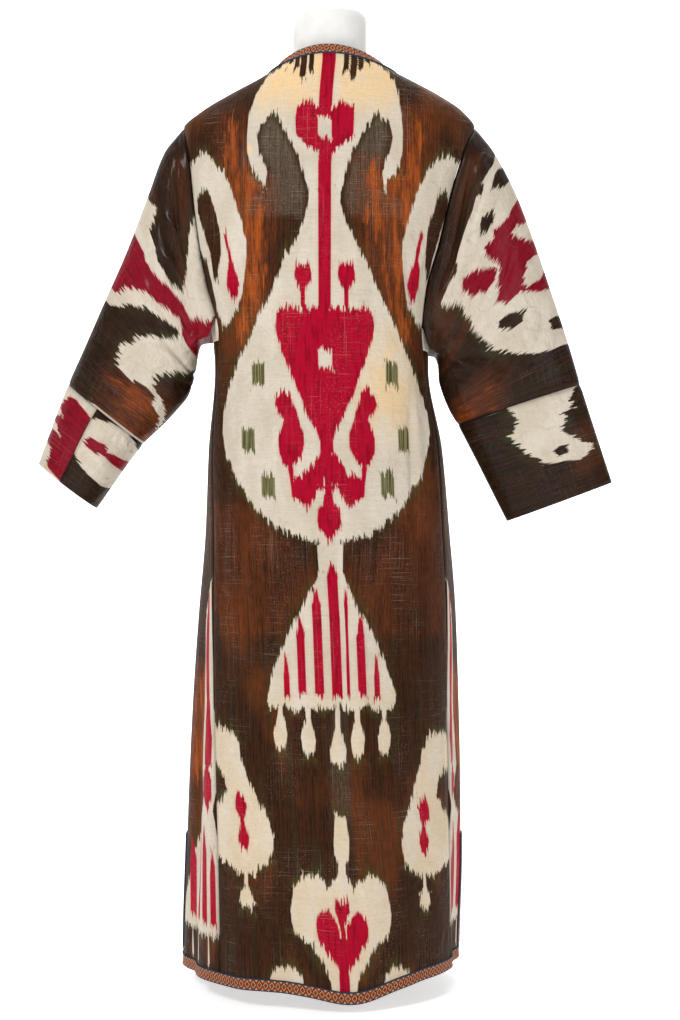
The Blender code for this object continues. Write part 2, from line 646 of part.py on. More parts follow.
def make_cylinder(name, radius, low, high, sides, bevel, material, collection):
    bpy.ops.mesh.primitive_cylinder_add(
        vertices=sides, radius=radius, depth=high - low, location=(0, 0, (low + high) / 2)
    )
    thing = bpy.context.object
    thing.name = name
    thing.data.materials.append(material)
    thing.data.shade_smooth()
    thing.data.set_sharp_from_angle(angle=np.radians(50))
    if bevel:
        rounding = thing.modifiers.new("rounded rim", "BEVEL")
        rounding.width = bevel
        rounding.segments = 2
        rounding.limit_method = "ANGLE"
    for linked in list(thing.users_collection):
        linked.objects.unlink(thing)
    collection.objects.link(thing)


def make_stand(steel, collection):
    make_cylinder("base", BASE_RADIUS, 0, BASE_HEIGHT, BASE_SIDES, BASE_BEVEL, steel, collection)
    foot, head = BASE_HEIGHT + REST_GAP, FORM_ROWS[0] - REST_GAP
    make_cylinder("pole", POLE_RADIUS, foot, head, POLE_SIDES, 0, steel, collection)


def main():
    collection = clear_scene()
    materials = {name: make_material(name) for name in COLOURS}
    levels = make_body(materials["ikat"], materials["gusset cloth"], collection)
    for name, side in SIDES.items():
        make_sleeve(levels, name, side, materials["ikat"], collection)
    make_braids(levels, materials["braid"], collection)
    make_form(materials["form cloth"], collection)
    make_stand(materials["steel"], collection)


main()
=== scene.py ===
# %% [markdown]
# # A silk ikat chapan on a dress form
# A chapan is a long open robe with straight sleeves. This one is made of ikat: the warp threads
# are tied and dyed before weaving, so every shape in the pattern has feathered ends along the
# threads and clean sides across them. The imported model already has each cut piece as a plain
# wall. This script lays a finer cloth over each wall, with creases, dye and weave.

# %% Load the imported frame
import json

import bpy
import numpy as np
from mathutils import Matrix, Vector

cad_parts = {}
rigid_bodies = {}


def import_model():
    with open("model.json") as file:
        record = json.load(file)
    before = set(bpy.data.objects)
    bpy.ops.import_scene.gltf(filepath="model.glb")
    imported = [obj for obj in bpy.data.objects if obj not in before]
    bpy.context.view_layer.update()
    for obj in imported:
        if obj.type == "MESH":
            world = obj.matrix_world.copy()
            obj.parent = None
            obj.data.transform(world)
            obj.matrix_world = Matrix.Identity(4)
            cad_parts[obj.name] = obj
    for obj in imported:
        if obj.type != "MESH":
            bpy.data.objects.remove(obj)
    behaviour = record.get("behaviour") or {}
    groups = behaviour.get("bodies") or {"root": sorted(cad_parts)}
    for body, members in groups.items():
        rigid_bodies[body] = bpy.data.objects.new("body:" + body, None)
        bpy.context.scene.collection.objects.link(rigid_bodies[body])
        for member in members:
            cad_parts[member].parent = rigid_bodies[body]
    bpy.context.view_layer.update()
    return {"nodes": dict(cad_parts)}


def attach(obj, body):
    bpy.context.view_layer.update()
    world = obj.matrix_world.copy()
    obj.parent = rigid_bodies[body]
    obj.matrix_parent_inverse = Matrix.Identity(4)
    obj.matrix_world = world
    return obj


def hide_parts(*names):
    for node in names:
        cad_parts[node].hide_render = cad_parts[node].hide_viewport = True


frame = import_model()

# %% [markdown]
# ## Camera
# The photo looks straight at the robe's back from three metres away. A camera that is level and
# square to the object keeps the upright seams upright, so the render can be laid over the photo.

# %% Camera
CAMERA_PLACE = (-0.0172, 3.0, 0.673)
CAMERA_LENS = 73.7

camera_data = bpy.data.cameras.new("camera")
camera_data.lens = CAMERA_LENS
camera_data.sensor_width = 36.0
camera = bpy.data.objects.new("camera", camera_data)
camera.location = CAMERA_PLACE
camera.rotation_euler = (np.pi / 2, 0, np.pi)
bpy.context.scene.collection.objects.link(camera)
bpy.context.scene.camera = camera
print("camera at", CAMERA_PLACE, "lens", CAMERA_LENS)

# %% [markdown]
# ## Putting grids into meshes
# Every new piece is a grid of points. These helpers join neighbouring points with faces, close
# the grid into a thin wall, and store a value for each point that a material can read.

# %% Grid helpers
def unit(vectors):
    """Each vector divided by its own length."""
    return vectors / np.maximum(np.linalg.norm(vectors, axis=-1, keepdims=True), 1e-12)


def grid_faces(rows, columns, closed):
    """Corner numbers of a grid's squares; a closed grid joins its last column to its first."""
    row, col = np.meshgrid(np.arange(rows - 1), np.arange(columns if closed else columns - 1),
                           indexing="ij")
    here, beside = row * columns + col, row * columns + (col + 1) % columns
    return np.stack([here, beside, beside + columns, here + columns], axis=-1).reshape(-1, 4)


def put_mesh(name, points, faces, values, material):
    """A mesh from points and four-sided faces. values maps attribute names to an array with two
    columns (a map over the cloth) or four (a set of numbers) for each point."""
    mesh = bpy.data.meshes.new(name)
    mesh.vertices.add(len(points))
    mesh.vertices.foreach_set("co", points.astype(np.float32).ravel())
    mesh.loops.add(faces.size)
    mesh.loops.foreach_set("vertex_index", faces.astype(np.int32).ravel())
    mesh.polygons.add(len(faces))
    mesh.polygons.foreach_set("loop_start", np.arange(0, faces.size, 4, dtype=np.int32))
    mesh.update(calc_edges=True)
    for key, value in values.items():
        if value.shape[-1] == 2:
            layer = mesh.uv_layers.new(name=key)
            layer.data.foreach_set("uv", value[faces.ravel()].astype(np.float32).ravel())
        else:
            layer = mesh.attributes.new(key, "FLOAT_COLOR", "POINT")
            layer.data.foreach_set("color", value.astype(np.float32).ravel())
    mesh.materials.append(material)
    mesh.shade_smooth()
    mesh.validate()
    thing = bpy.data.objects.new(name, mesh)
    bpy.context.scene.collection.objects.link(thing)
    return thing


def put_wall(name, outer, inner, values, closed, flip, material):
    """A closed thin wall: the outer grid, the inner grid turned the other way, and a rim that
    joins their borders. flip turns all faces round."""
    rows, columns = outer.shape[:2]
    count = rows * columns
    skin = grid_faces(rows, columns, closed)
    number = np.arange(count).reshape(rows, columns)
    borders = [number[0], number[-1][::-1]]
    if not closed:
        borders += [number[:, -1], number[:, 0][::-1]]
    rims = []
    for border in borders:
        follow = np.roll(border, -1) if closed else border[1:]
        start = border if closed else border[:-1]
        rims.append(np.stack([start, start + count, follow + count, follow], axis=1))
    faces = np.concatenate([skin, skin[:, ::-1] + count, *rims])
    if flip:
        faces = faces[:, ::-1]
    points = np.concatenate([outer.reshape(-1, 3), inner.reshape(-1, 3)])
    doubled = {key: np.tile(value.reshape(count, -1), (2, 1)) for key, value in values.items()}
    return put_mesh(name, points, faces, doubled, material)


# %% [markdown]
# ## The robe's body as one smooth surface
# Below the arms the robe is a tube of cloth. Its outline at each height comes from a short table,
# and a distance round the body says where a point lies on that outline. These are the same tables
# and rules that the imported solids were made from, so each finer piece lands on its own solid.
# A cloth simulation could drape the robe too, but it would move the cloth away from the solids.

# %% Sizes and outline tables
LOOM_WIDTH = 0.395
HALF_LOOM = LOOM_WIDTH / 2
CLOTH_WALL = 0.0016
HALF_GAP = 0.00010
BRAID_WIDTH = 0.017
NECK_LEVEL, NECK_RISE = 1.308, 0.020
SHOULDER_TIP = 1.222
HEM_LEVEL, HEM_DIP, HEM_DIP_WIDTH, HEM_RISE_RIGHT = 0.026, 0.014, 0.050, 0.007
SLIT_TOP, SLIT_GAP_AT_HEM = 0.215, 0.009
GUSSET_HEIGHT, GUSSET_DROP = 0.032, 0.0010
LEFT, RIGHT = 1, -1
SIDES = {"left": LEFT, "right": RIGHT}
ARMHOLE_BOTTOM = {LEFT: 0.944, RIGHT: 0.930}
SEAM_DRIFT_HEIGHT = 0.10
RING_STEPS = 720

BODY_COLUMNS = ("height", "left", "right", "back", "front", "turn", "square")
BODY = np.array((
    (0.000, 0.2065, 0.1860, 0.2170, 0.2010, -0.0350, 2.00),
    (0.070, 0.2060, 0.1875, 0.2140, 0.1990, -0.0320, 2.00),
    (0.184, 0.2025, 0.1905, 0.2060, 0.1940, -0.0270, 2.00),
    (0.299, 0.1985, 0.1900, 0.1960, 0.1880, -0.0205, 2.00),
    (0.414, 0.1930, 0.1875, 0.1850, 0.1810, -0.0140, 2.00),
    (0.529, 0.1850, 0.1835, 0.1720, 0.1730, -0.0080, 2.05),
    (0.644, 0.1755, 0.1745, 0.1580, 0.1650, -0.0020, 2.10),
    (0.759, 0.1710, 0.1640, 0.1440, 0.1570, 0.0040, 2.20),
    (0.874, 0.1620, 0.1440, 0.1320, 0.1500, 0.0075, 2.30),
    (0.960, 0.1720, 0.1460, 0.1260, 0.1450, 0.0075, 2.45),
    (1.060, 0.1930, 0.1680, 0.1210, 0.1370, 0.0075, 2.55),
    (1.150, 0.2040, 0.1930, 0.1120, 0.1130, 0.0070, 2.50),
    (1.200, 0.2110, 0.2110, 0.1030, 0.0920, 0.0050, 2.30),
    (1.219, 0.2080, 0.2110, 0.0990, 0.0830, 0.0040, 2.20),
    (1.242, 0.1830, 0.1950, 0.0930, 0.0720, 0.0040, 2.10),
    (1.265, 0.1450, 0.1620, 0.0860, 0.0640, 0.0030, 2.00),
    (1.288, 0.0990, 0.1170, 0.0760, 0.0580, 0.0020, 2.00),
    (1.300, 0.0790, 0.0905, 0.0690, 0.0550, 0.0010, 2.00),
    (1.312, 0.0660, 0.0740, 0.0620, 0.0530, 0.0000, 2.00),
))
ARMHOLE_COLUMNS = ("height", "left", "right")
ARMHOLE = np.array((
    (0.790, 0.1500, 0.1320),
    (0.915, 0.1530, 0.1330),
    (0.980, 0.1690, 0.1390),
    (1.050, 0.1830, 0.1580),
    (1.110, 0.1910, 0.1720),
    (1.160, 0.1960, 0.1860),
    (1.200, 0.2030, 0.2010),
    (1.219, 0.2070, 0.2100),
    (1.242, 0.1830, 0.1950),
))
FRONT_EDGE_COLUMNS = ("height", "from_middle")
FRONT_EDGE = np.array((
    (0.000, 0.0160), (0.300, 0.0110), (0.700, 0.0070), (1.080, 0.0060), (1.120, 0.0090), (1.160, 0.0170),
    (1.200, 0.0280), (1.240, 0.0420), (1.270, 0.0560), (1.295, 0.0740), (1.310, 0.0900),
))
NARROWEST_FRONT = 0.004
print("outline rows:", len(BODY), "armhole rows:", len(ARMHOLE))

# %% [markdown]
# A table has few rows, so the values between them come from a smooth curve. Each outline is an
# ellipse that a power makes a little squarer, and its length is summed up once round, so that a
# point can be looked up by its distance from the middle of the back.

# %% Reading the tables
def curve_through(keys, values, at):
    """A smooth curve through a table's rows: a cubic between two rows, whose slope at a row is
    the harmonic mean of the slopes on both sides, so that it never overshoots."""
    at = np.clip(np.asarray(at, float), keys[0], keys[-1])
    step = np.diff(keys)
    rise = np.diff(values) / step
    slope = np.zeros(len(keys))
    rising = rise[:-1] * rise[1:] > 0
    safe = np.where(rising, rise[:-1] + rise[1:], 1.0)
    slope[1:-1] = np.where(rising, 2 * rise[:-1] * rise[1:] / safe, 0.0)
    slope[0], slope[-1] = rise[0], rise[-1]
    i = np.clip(np.searchsorted(keys, at, side="right") - 1, 0, len(step) - 1)
    t = (at - keys[i]) / step[i]
    start = values[i] * (1 + 2 * t) * (1 - t) ** 2 + slope[i] * step[i] * t * (1 - t) ** 2
    end = values[i + 1] * t * t * (3 - 2 * t) + slope[i + 1] * step[i] * t * t * (t - 1)
    return start + end


def read_table(table, columns, name, at):
    """One named column of a table, read along its first column."""
    return curve_through(table[:, 0], table[:, columns.index(name)], at)


def body_at(name, level):
    """A column of the body's outline table at some levels."""
    return read_table(BODY, BODY_COLUMNS, name, level)


def smooth_step(low, high, value):
    """0 before low, 1 after high, and a soft S between them."""
    t = np.clip((value - low) / (high - low), 0, 1)
    return t * t * (3 - 2 * t)


def rings(level):
    """Outlines at the given levels, one per row: x and y of each point, and its distance round
    the outline from the middle of the back, positive towards the robe's left."""
    angle = np.linspace(-np.pi, np.pi, RING_STEPS + 1)[None, :]
    level = np.asarray(level, float).reshape(-1, 1)
    reach_x = np.where(angle > 0, body_at("left", level), body_at("right", level))
    reach_y = np.where(np.cos(angle) > 0, body_at("back", level), body_at("front", level))
    power = 2 / body_at("square", level)
    x = reach_x * np.sign(np.sin(angle)) * np.abs(np.sin(angle)) ** power
    y = reach_y * np.sign(np.cos(angle)) * np.abs(np.cos(angle)) ** power
    pieces = np.hypot(np.diff(x, axis=1), np.diff(y, axis=1))
    around = np.concatenate([np.zeros((len(level), 1)), np.cumsum(pieces, axis=1)], axis=1)
    return x, y, around - around[:, RING_STEPS // 2 : RING_STEPS // 2 + 1]


# %% [markdown]
# ## Folds and creases
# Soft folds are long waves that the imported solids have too. Creases are smaller: each is a short
# line on the cloth that sinks or stands a few millimetres, strongest in its middle. They are put
# where the photo shows them, and like ones are put on the sides that it hides. They could be
# sculpted or simulated, but a table of lines puts each crease where it was seen, on every run.

# %% Folds and creases of the body
FOLDS = (
    # around, lean, half width, depth, low, high
    (-0.034, -0.020, 0.010, -0.0035, 0.300, 0.660),
    (-0.060, -0.030, 0.022, 0.0030, 0.000, 0.700),
    (0.070, 0.020, 0.026, -0.0035, -0.200, 0.420),
    (0.125, 0.040, 0.022, 0.0040, -0.200, 0.560),
    (0.255, 0.060, 0.026, -0.0090, -0.300, 0.720),
    (0.390, 0.050, 0.028, -0.0100, -0.300, 0.680),
    (0.520, 0.020, 0.026, 0.0050, -0.300, 0.800),
    (-0.150, -0.040, 0.022, -0.0030, -0.200, 0.500),
    (-0.270, -0.060, 0.026, -0.0080, -0.300, 0.720),
    (-0.400, -0.050, 0.028, -0.0100, -0.300, 0.680),
    (-0.530, -0.020, 0.026, 0.0050, -0.300, 0.800),
)
BODY_CREASES = (
    # level and place round the body of both ends, half width, depth
    (0.600, -0.0200, 0.330, -0.0330, 0.0030, -0.0035),
    (0.600, -0.0285, 0.340, -0.0430, 0.0060, 0.0022),
    (0.300, -0.0480, 0.060, -0.0560, 0.0080, -0.0016),
    (0.430, 0.0450, 0.070, 0.0360, 0.0120, 0.0018),
    (0.760, 0.1420, 0.520, 0.1600, 0.0070, -0.0022),
    (0.860, 0.1450, 0.640, 0.1300, 0.0090, 0.0022),
    (0.880, -0.1330, 0.560, -0.1500, 0.0060, -0.0036),
    (0.880, -0.1200, 0.600, -0.1330, 0.0080, 0.0026),
    (0.930, -0.1480, 0.700, -0.1560, 0.0050, 0.0024),
    (1.120, -0.1750, 0.960, -0.1460, 0.0060, -0.0030),
    (1.130, -0.1620, 0.980, -0.1320, 0.0080, 0.0026),
    (1.170, 0.1780, 1.020, 0.1560, 0.0060, -0.0022),
    (1.160, 0.1640, 0.980, 0.1350, 0.0090, 0.0024),
    (1.060, 0.1500, 0.960, 0.1240, 0.0050, -0.0016),
    (1.040, -0.1150, 0.950, -0.1320, 0.0060, -0.0018),
    (1.190, 0.0900, 1.130, 0.1250, 0.0080, -0.0012),
    (1.190, -0.0900, 1.120, -0.1300, 0.0080, -0.0012),
    (0.130, 0.1050, 0.040, 0.0700, 0.0090, 0.0018),
    (0.110, 0.0400, 0.034, 0.0560, 0.0060, -0.0016),
    (0.900, 0.2600, 0.620, 0.2900, 0.0120, -0.0050),
    (0.900, -0.2500, 0.600, -0.2850, 0.0120, -0.0050),
    (1.150, 0.3050, 0.960, 0.2850, 0.0090, -0.0035),
    (1.150, -0.3050, 0.960, -0.2850, 0.0090, -0.0035),
    (1.120, 0.3300, 0.930, 0.3200, 0.0100, 0.0030),
    (1.120, -0.3300, 0.930, -0.3200, 0.0100, 0.0030),
    (0.800, 0.3900, 0.420, 0.4300, 0.0110, -0.0035),
    (0.780, -0.4000, 0.380, -0.4350, 0.0110, -0.0035),
    (0.500, 0.2200, 0.120, 0.2350, 0.0090, -0.0030),
    (0.500, -0.2250, 0.100, -0.2400, 0.0090, -0.0030),
)


def fold_depth(level, around):
    """Sum of the folds: each is a bell curve across its own leaning line, faded at its ends."""
    total = np.zeros(np.broadcast(level, around).shape)
    for at, lean, half_width, depth, low, high in FOLDS:
        middle = at + lean * (HEM_LEVEL - level)
        fade = smooth_step(high, (low + high) / 2, level) * smooth_step(low, low + 0.1, level)
        total = total + depth * fade * np.exp(-(((around - middle) / half_width) ** 2))
    return total


def crease_depth(first, second, creases):
    """Sum of the creases on a cloth with two coordinates. Each is a bell curve of the distance
    from its line, times a half sine along the line, with a slight bend in the line."""
    total = np.zeros(np.broadcast(first, second).shape)
    for a0, b0, a1, b1, half_width, depth in creases:
        length = np.hypot(a1 - a0, b1 - b0)
        way = np.array([a1 - a0, b1 - b0]) / length
        along = (first - a0) * way[0] + (second - b0) * way[1]
        off = (second - b0) * way[0] - (first - a0) * way[1]
        share = np.clip(along / length, 0, 1)
        bend = 0.05 * length * np.sin(np.pi * share) * np.sign(depth)
        total = total + depth * np.sin(np.pi * share) ** 0.8 * np.exp(-(((off - bend) / half_width) ** 2))
    return total


print("folds:", len(FOLDS), "creases on the body:", len(BODY_CREASES))

# %% [markdown]
# A point is looked up on its outline, moved out by the folds, and raised or lowered at the neck
# and hem. Every panel and braid goes through this one function, so that they fit each other.

# %% Placing a point on the body
def hem_shift(level, around):
    """The hem dips at the middle of the back and rises on the right; this fades out upwards."""
    dip = HEM_DIP * np.exp(-(((around - body_at("turn", level)) / HEM_DIP_WIDTH) ** 2))
    rise = HEM_RISE_RIGHT * smooth_step(-0.05, -0.20, around)
    return (rise - dip) * smooth_step(SLIT_TOP, HEM_LEVEL, level)


def neck_shift(level, around):
    """The cloth stands up at the back of the neck; this fades out towards the shoulders."""
    quarter = np.where(around > 0, body_at("left", level), body_at("right", level)) + body_at("back", level)
    share = np.clip(np.abs(around) / (0.78 * quarter), 0, 1)
    return NECK_RISE * smooth_step(1.20, NECK_LEVEL, level) * np.cos(share * np.pi / 2) ** 2


def place(level, around, creased=False):
    """Points of the robe's outer surface: a point of the outline at that level, moved straight
    out by the folds, and by the creases too if they are asked for."""
    level, around = np.broadcast_arrays(np.asarray(level, float), np.asarray(around, float))
    flat_level, flat_around = level.ravel(), around.ravel()
    rows, index = np.unique(flat_level, return_inverse=True)
    ring_x, ring_y, ring_around = rings(rows)
    order = np.argsort(index, kind="stable")
    starts = np.searchsorted(index[order], np.arange(len(rows) + 1))
    x, y = np.empty(flat_level.size), np.empty(flat_level.size)
    for row in range(len(rows)):
        at = order[starts[row] : starts[row + 1]]
        x[at] = np.interp(flat_around[at], ring_around[row], ring_x[row])
        y[at] = np.interp(flat_around[at], ring_around[row], ring_y[row])
    depth = fold_depth(flat_level, flat_around)
    if creased:
        depth = depth + crease_depth(flat_level, flat_around, BODY_CREASES)
    scale = 1 + depth / np.hypot(x, y)
    z = flat_level + hem_shift(flat_level, flat_around) + neck_shift(flat_level, flat_around)
    return np.stack([x * scale, y * scale, z], axis=1).reshape(*level.shape, 3)


def slopes(level, around):
    """Directions up and round the surface: differences of two points a small step apart."""
    step = 0.002
    up = (place(level + step, around) - place(level - step, around)) / (2 * step)
    across = (place(level, around + step) - place(level, around - step)) / (2 * step)
    return up, across


def outward(level, around):
    """Direction square to the surface, away from the wearer."""
    up, across = slopes(level, around)
    return unit(np.cross(up, across))


# %% [markdown]
# ## Where the pieces are cut
# One loom width makes the back and two half widths make the fronts. The gores fill the rest below
# the arm. Each rule here gives the distance round the body of one cut edge at a level. Two
# neighbours read the same rule, so their edges follow each other all the way down.

# %% Cut edges
def side_arc(level, side):
    """Distance from the middle of the back round to the side line, a quarter turn away."""
    return side * rings(level)[2][:, RING_STEPS // 2 + side * RING_STEPS // 4]


def half_round(level, side):
    """Distance from the middle of the back round to the middle of the front."""
    return np.abs(rings(level)[2][:, -1 if side == LEFT else 0])


def armhole_arc(level, side, at_back):
    """Distance round the body to the armhole's edge, on the back or on the front."""
    reach = read_table(ARMHOLE, ARMHOLE_COLUMNS, "left" if side == LEFT else "right", level)
    ring_x, ring_y, ring_around = rings(level)
    arcs = np.empty(len(ring_x))
    for row in range(len(arcs)):
        half = (side * ring_x[row] >= 0) & ((ring_y[row] >= 0) == at_back)
        order = np.argsort(np.abs(ring_x[row][half]))
        arcs[row] = np.interp(reach[row], np.abs(ring_x[row][half])[order],
                              np.abs(ring_around[row][half])[order])
    return arcs


def seam_arc(level, side, at_back):
    """A panel's outer edge: half a loom width from the middle below the arm, the armhole's edge
    beside it, and the shoulder line above it."""
    level = np.atleast_1d(np.asarray(level, float))
    half = half_round(level, side)
    straight = HALF_LOOM + side * body_at("turn", level) if at_back else half - HALF_LOOM
    share = smooth_step(ARMHOLE_BOTTOM[side] - SEAM_DRIFT_HEIGHT, ARMHOLE_BOTTOM[side], level)
    seam = straight * (1 - share) + armhole_arc(level, side, at_back) * share
    return np.where(level >= SHOULDER_TIP, side_arc(level, side), seam)


def front_edge(level, side):
    """A front's free edge: half round the body less its table, and never narrower than its braid."""
    from_middle = read_table(FRONT_EDGE, FRONT_EDGE_COLUMNS, "from_middle", level)
    edge = half_round(level, side) - from_middle
    return np.maximum(edge, seam_arc(level, side, False) + BRAID_WIDTH + NARROWEST_FRONT)


def front_braid_reach(level, side):
    """How far round the body the front braid reaches in, so that it stays as wide where the edge
    slopes: its width divided by the sine of the angle between the edge and the rows."""
    edge = front_edge(level, side)
    across = slopes(level, side * edge)[1]
    line = unit(np.gradient(place(level, side * edge), level, axis=0))
    slant = np.linalg.norm(np.cross(line, unit(across)), axis=1)
    room = edge - seam_arc(level, side, False) - NARROWEST_FRONT
    return np.minimum(BRAID_WIDTH / slant, room)


def slit_gap(level):
    """Half the opening of a side slit: widest at the hem, and a sewn gap above its top."""
    opening = SLIT_GAP_AT_HEM / 2 * smooth_step(SLIT_TOP, HEM_LEVEL, level)
    return np.maximum(opening, HALF_GAP)


def spread(start, end, count):
    """Evenly spaced distances from start to end, one row for each level."""
    share = np.linspace(0, 1, count + 1)[None, :]
    return start[:, None] * (1 - share) + end[:, None] * share


# %% [markdown]
# ## Wiring materials
# A material is a set of nodes. These helpers keep each line short: one adds a node and fills its
# sockets, the others add sums, mixes, noise and soft edges.

# %% Node helpers
def node(tree, kind, inputs=None, **settings):
    """A new node; a socket given as an input is linked, and a plain value is filled in."""
    new = tree.nodes.new("ShaderNode" + kind)
    for key, value in settings.items():
        setattr(new, key, value)
    for key, value in (inputs or {}).items():
        if isinstance(value, bpy.types.NodeSocket):
            tree.links.new(value, new.inputs[key])
        else:
            new.inputs[key].default_value = value
    return new


def maths(tree, operation, first, second=0.0, third=0.0):
    """One step of arithmetic on sockets or numbers."""
    return node(tree, "Math", {0: first, 1: second, 2: third}, operation=operation).outputs[0]


def mix(tree, share, first, second, blend="MIX"):
    """Mix of two colours by a share from 0 to 1."""
    return node(tree, "Mix", {0: share, 6: first, 7: second}, data_type="RGBA", blend_type=blend).outputs[2]


def noise(tree, first, second, first_scale, second_scale, seed, detail=2.0):
    """Noise over two coordinates, each with its own scale, as a number near 0.5."""
    where = node(tree, "CombineXYZ", {0: maths(tree, "MULTIPLY", first, first_scale),
                                      1: maths(tree, "MULTIPLY", second, second_scale), 2: seed}).outputs[0]
    return node(tree, "TexNoise", {"Vector": where, "Scale": 1.0, "Detail": detail}).outputs["Fac"]


def soft(tree, value, low, high):
    """0 below low and 1 above high, with a soft S between."""
    inputs = {"Value": value, "From Min": low, "From Max": high}
    return node(tree, "MapRange", inputs, interpolation_type="SMOOTHSTEP").outputs[0]


def paint(red, green, blue):
    """A colour as the screen shows it, from 0 to 255, turned into light."""
    value = np.array([red, green, blue]) / 255
    light = np.where(value < 0.04045, value / 12.92, ((value + 0.055) / 1.055) ** 2.4)
    return (*[float(v) for v in light], 1.0)


def new_material(name):
    """A material with its node tree and its main shader."""
    material = bpy.data.materials.new(name)
    material.use_nodes = True
    tree = material.node_tree
    return material, tree, tree.nodes["Principled BSDF"]


# %% [markdown]
# ## The ikat cloth
# Dyed warp threads slip a little on the loom. So each thread bundle carries its own small shift
# along the warp, and the edge of every shape breaks into spikes and steps that run one way only.
# Each point of the cloth stores how far it lies inside the cream, red, olive and rust shapes, and
# how fast that changes along the warp. The material adds shift times change to the distance, and
# colours what is above zero. A painted picture could hold the pattern too, but it would blur close
# up, where these edges stay as sharp as threads.

# %% Ikat material
CREAM = paint(209, 198, 182)
OCHRE = paint(236, 197, 138)
CRIMSON = paint(166, 6, 40)
DEEP_RED = paint(132, 2, 27)
DARK_BROWN = paint(26, 17, 9)
WARM_BROWN = paint(72, 40, 20)
# A paler grey brown for the smoky tone and for the painted drape highlight.
SMOKE_AND_HIGHLIGHT = paint(92, 78, 64)
RUST = paint(172, 84, 30)
OLIVE = paint(70, 68, 30)
# Pale threads that show on the dark dyes, and the painted glints there.
GLINT_AND_THREAD = paint(206, 196, 180)
OLD_CREAM, SLUB_SHADE, BLUSH = paint(198, 186, 167), paint(170, 156, 136), paint(206, 120, 110)
RED_BROWN, GREEN_BROWN, PALE_OLIVE = paint(108, 56, 26), paint(50, 41, 24), paint(126, 122, 88)
DARK_RUST, EMBER, BRIGHT_EMBER = paint(122, 57, 23), paint(58, 28, 14), paint(134, 66, 32)
BUNDLES_A_METRE, THREADS_A_METRE = 520.0, 1150.0
BUNDLE_SLIP, THREAD_SLIP, DRIFT_SLIP = 0.022, 0.014, 0.010
CRISP_EDGE, SOFT_EDGE, RUST_EDGE, BLUR_ALONG = 0.0006, 0.0010, 0.006, 0.0011


def warp_shift(tree, across, along, seed):
    """Shift along the warp, in metres: steps that stay the same over a bundle of threads, finer
    ones for each few threads, and a slow drift."""
    bundle = maths(tree, "FLOOR", maths(tree, "MULTIPLY", across, BUNDLES_A_METRE))
    thread = maths(tree, "FLOOR", maths(tree, "MULTIPLY", across, THREADS_A_METRE))
    by_bundle = noise(tree, bundle, along, 0.83, 9.0, seed, 0.0)
    by_thread = noise(tree, thread, along, 0.77, 16.0, seed + 7.3, 0.0)
    drift = noise(tree, across, along, 60.0, 6.0, seed + 3.1, 1.0)
    parts = [maths(tree, "MULTIPLY_ADD", by_bundle, BUNDLE_SLIP, -BUNDLE_SLIP / 2),
             maths(tree, "MULTIPLY_ADD", by_thread, THREAD_SLIP, -THREAD_SLIP / 2),
             maths(tree, "MULTIPLY_ADD", drift, DRIFT_SLIP, -DRIFT_SLIP / 2)]
    return maths(tree, "ADD", maths(tree, "ADD", parts[0], parts[1]), parts[2])


